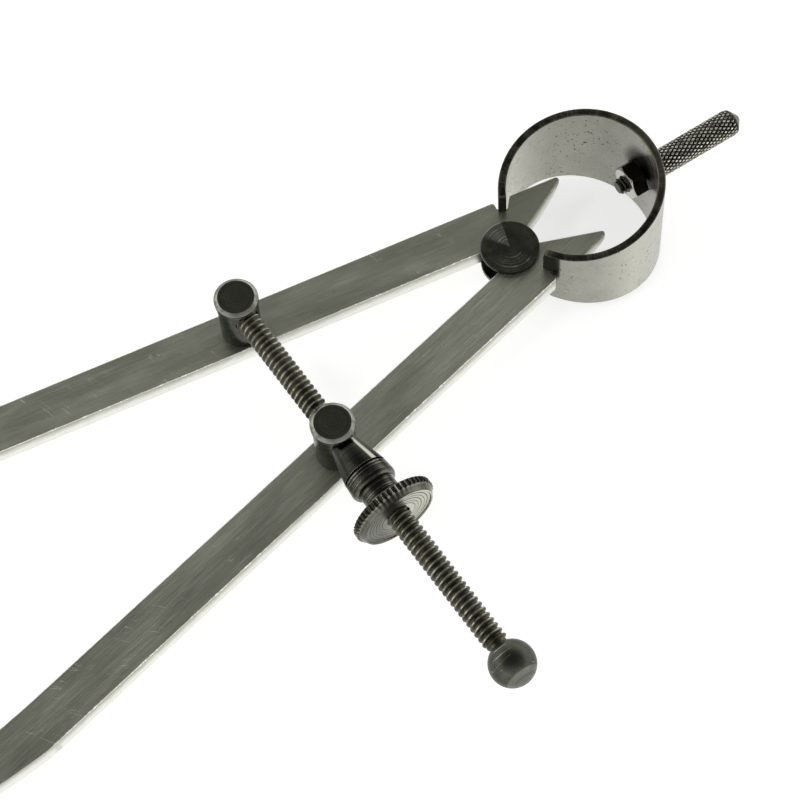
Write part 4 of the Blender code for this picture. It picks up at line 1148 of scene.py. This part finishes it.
# Camera
scene = bpy.context.scene
cam = bpy.data.objects.new("camera", bpy.data.cameras.new("camera"))
scene.collection.objects.link(cam)
forward = Vector(CAMERA_FORWARD).normalized()
up = Vector(CAMERA_UP)
up = (up - forward * up.dot(forward)).normalized()
right = forward.cross(up)
pose = Matrix((right, up, -forward)).transposed().to_4x4()
pose.translation = Vector(CAMERA_PLACE_MM) * MM
cam.matrix_world = TOOL @ pose
cam.data.sensor_width = SENSOR_WIDTH
cam.data.lens = FOCAL_PIXELS * SENSOR_WIDTH / IMAGE_PIXELS
cam.data.clip_start = 0.01
cam.data.clip_end = 10.0
scene.camera = cam

# Floor
scene.view_settings.view_transform = "Standard"
low = CAD_BOX[0].z
floor_mesh = bpy.data.meshes.new("floor")
square = [(x * FLOOR_REACH, y * FLOOR_REACH, low) for x, y in ((-1, -1), (1, -1), (1, 1), (-1, 1))]
floor_mesh.from_pydata(square, [], [(0, 1, 2, 3)])
floor = bpy.data.objects.new("floor", floor_mesh)
scene.collection.objects.link(floor)
f = Nodes("white_floor")
f.set("Base Color", (FLOOR_GREY, FLOOR_GREY, FLOOR_GREY, 1))
f.set("Roughness", 0.9)
f.set("Specular IOR Level", 0.0)
path = f.add("ShaderNodeLightPath").outputs
seen = f.math("ADD", path["Is Camera Ray"], path["Is Glossy Ray"], clamp=True)
glow = f.add("ShaderNodeEmission", {"Color": (1.0, 1.0, 1.0, 1), "Strength": f.times(seen, FLOOR_GLOW)})
both = f.add("ShaderNodeAddShader", {0: f.bsdf.outputs[0], 1: glow.outputs[0]})
f.feed(f.out.inputs["Surface"], both.outputs[0])
floor_mesh.materials.append(f.mat)

# Soft light from all round, brighter near the floor
world = bpy.data.worlds.new("soft_surround")
scene.world = world
world.use_nodes = True
tree = world.node_tree
tree.nodes.clear()
coords = tree.nodes.new("ShaderNodeTexCoord")
split = tree.nodes.new("ShaderNodeSeparateXYZ")
tree.links.new(coords.outputs["Generated"], split.inputs[0])
ramp = tree.nodes.new("ShaderNodeValToRGB")
tree.links.new(split.outputs["Z"], ramp.inputs["Fac"])
elements = ramp.color_ramp.elements
elements[0].position = 0.0
elements[0].color = SKY_FLOOR
elements[1].position = 1.0
elements[1].color = SKY_TOP
for position, value in SKY_STOPS:
    elements.new(position).color = (value, value, value * 0.98, 1)
back = tree.nodes.new("ShaderNodeBackground")
tree.links.new(ramp.outputs["Color"], back.inputs["Color"])
out = tree.nodes.new("ShaderNodeOutputWorld")
tree.links.new(back.outputs["Background"], out.inputs["Surface"])

# One soft lamp, kept out of the metal's reflections
key_data = bpy.data.lights.new("key", "AREA")
key_data.shape = "DISK"
key_data.size = LAMP_SIZE
key_data.energy = LAMP_POWER
key = bpy.data.objects.new("key", key_data)
scene.collection.objects.link(key)
key.location = TOOL @ (Vector(LAMP_DIRECTION) * LAMP_DISTANCE)
key.rotation_mode = "QUATERNION"
key.rotation_quaternion = (-key.location).to_track_quat("-Z", "Y")
key.visible_glossy = False

bpy.context.view_layer.update()
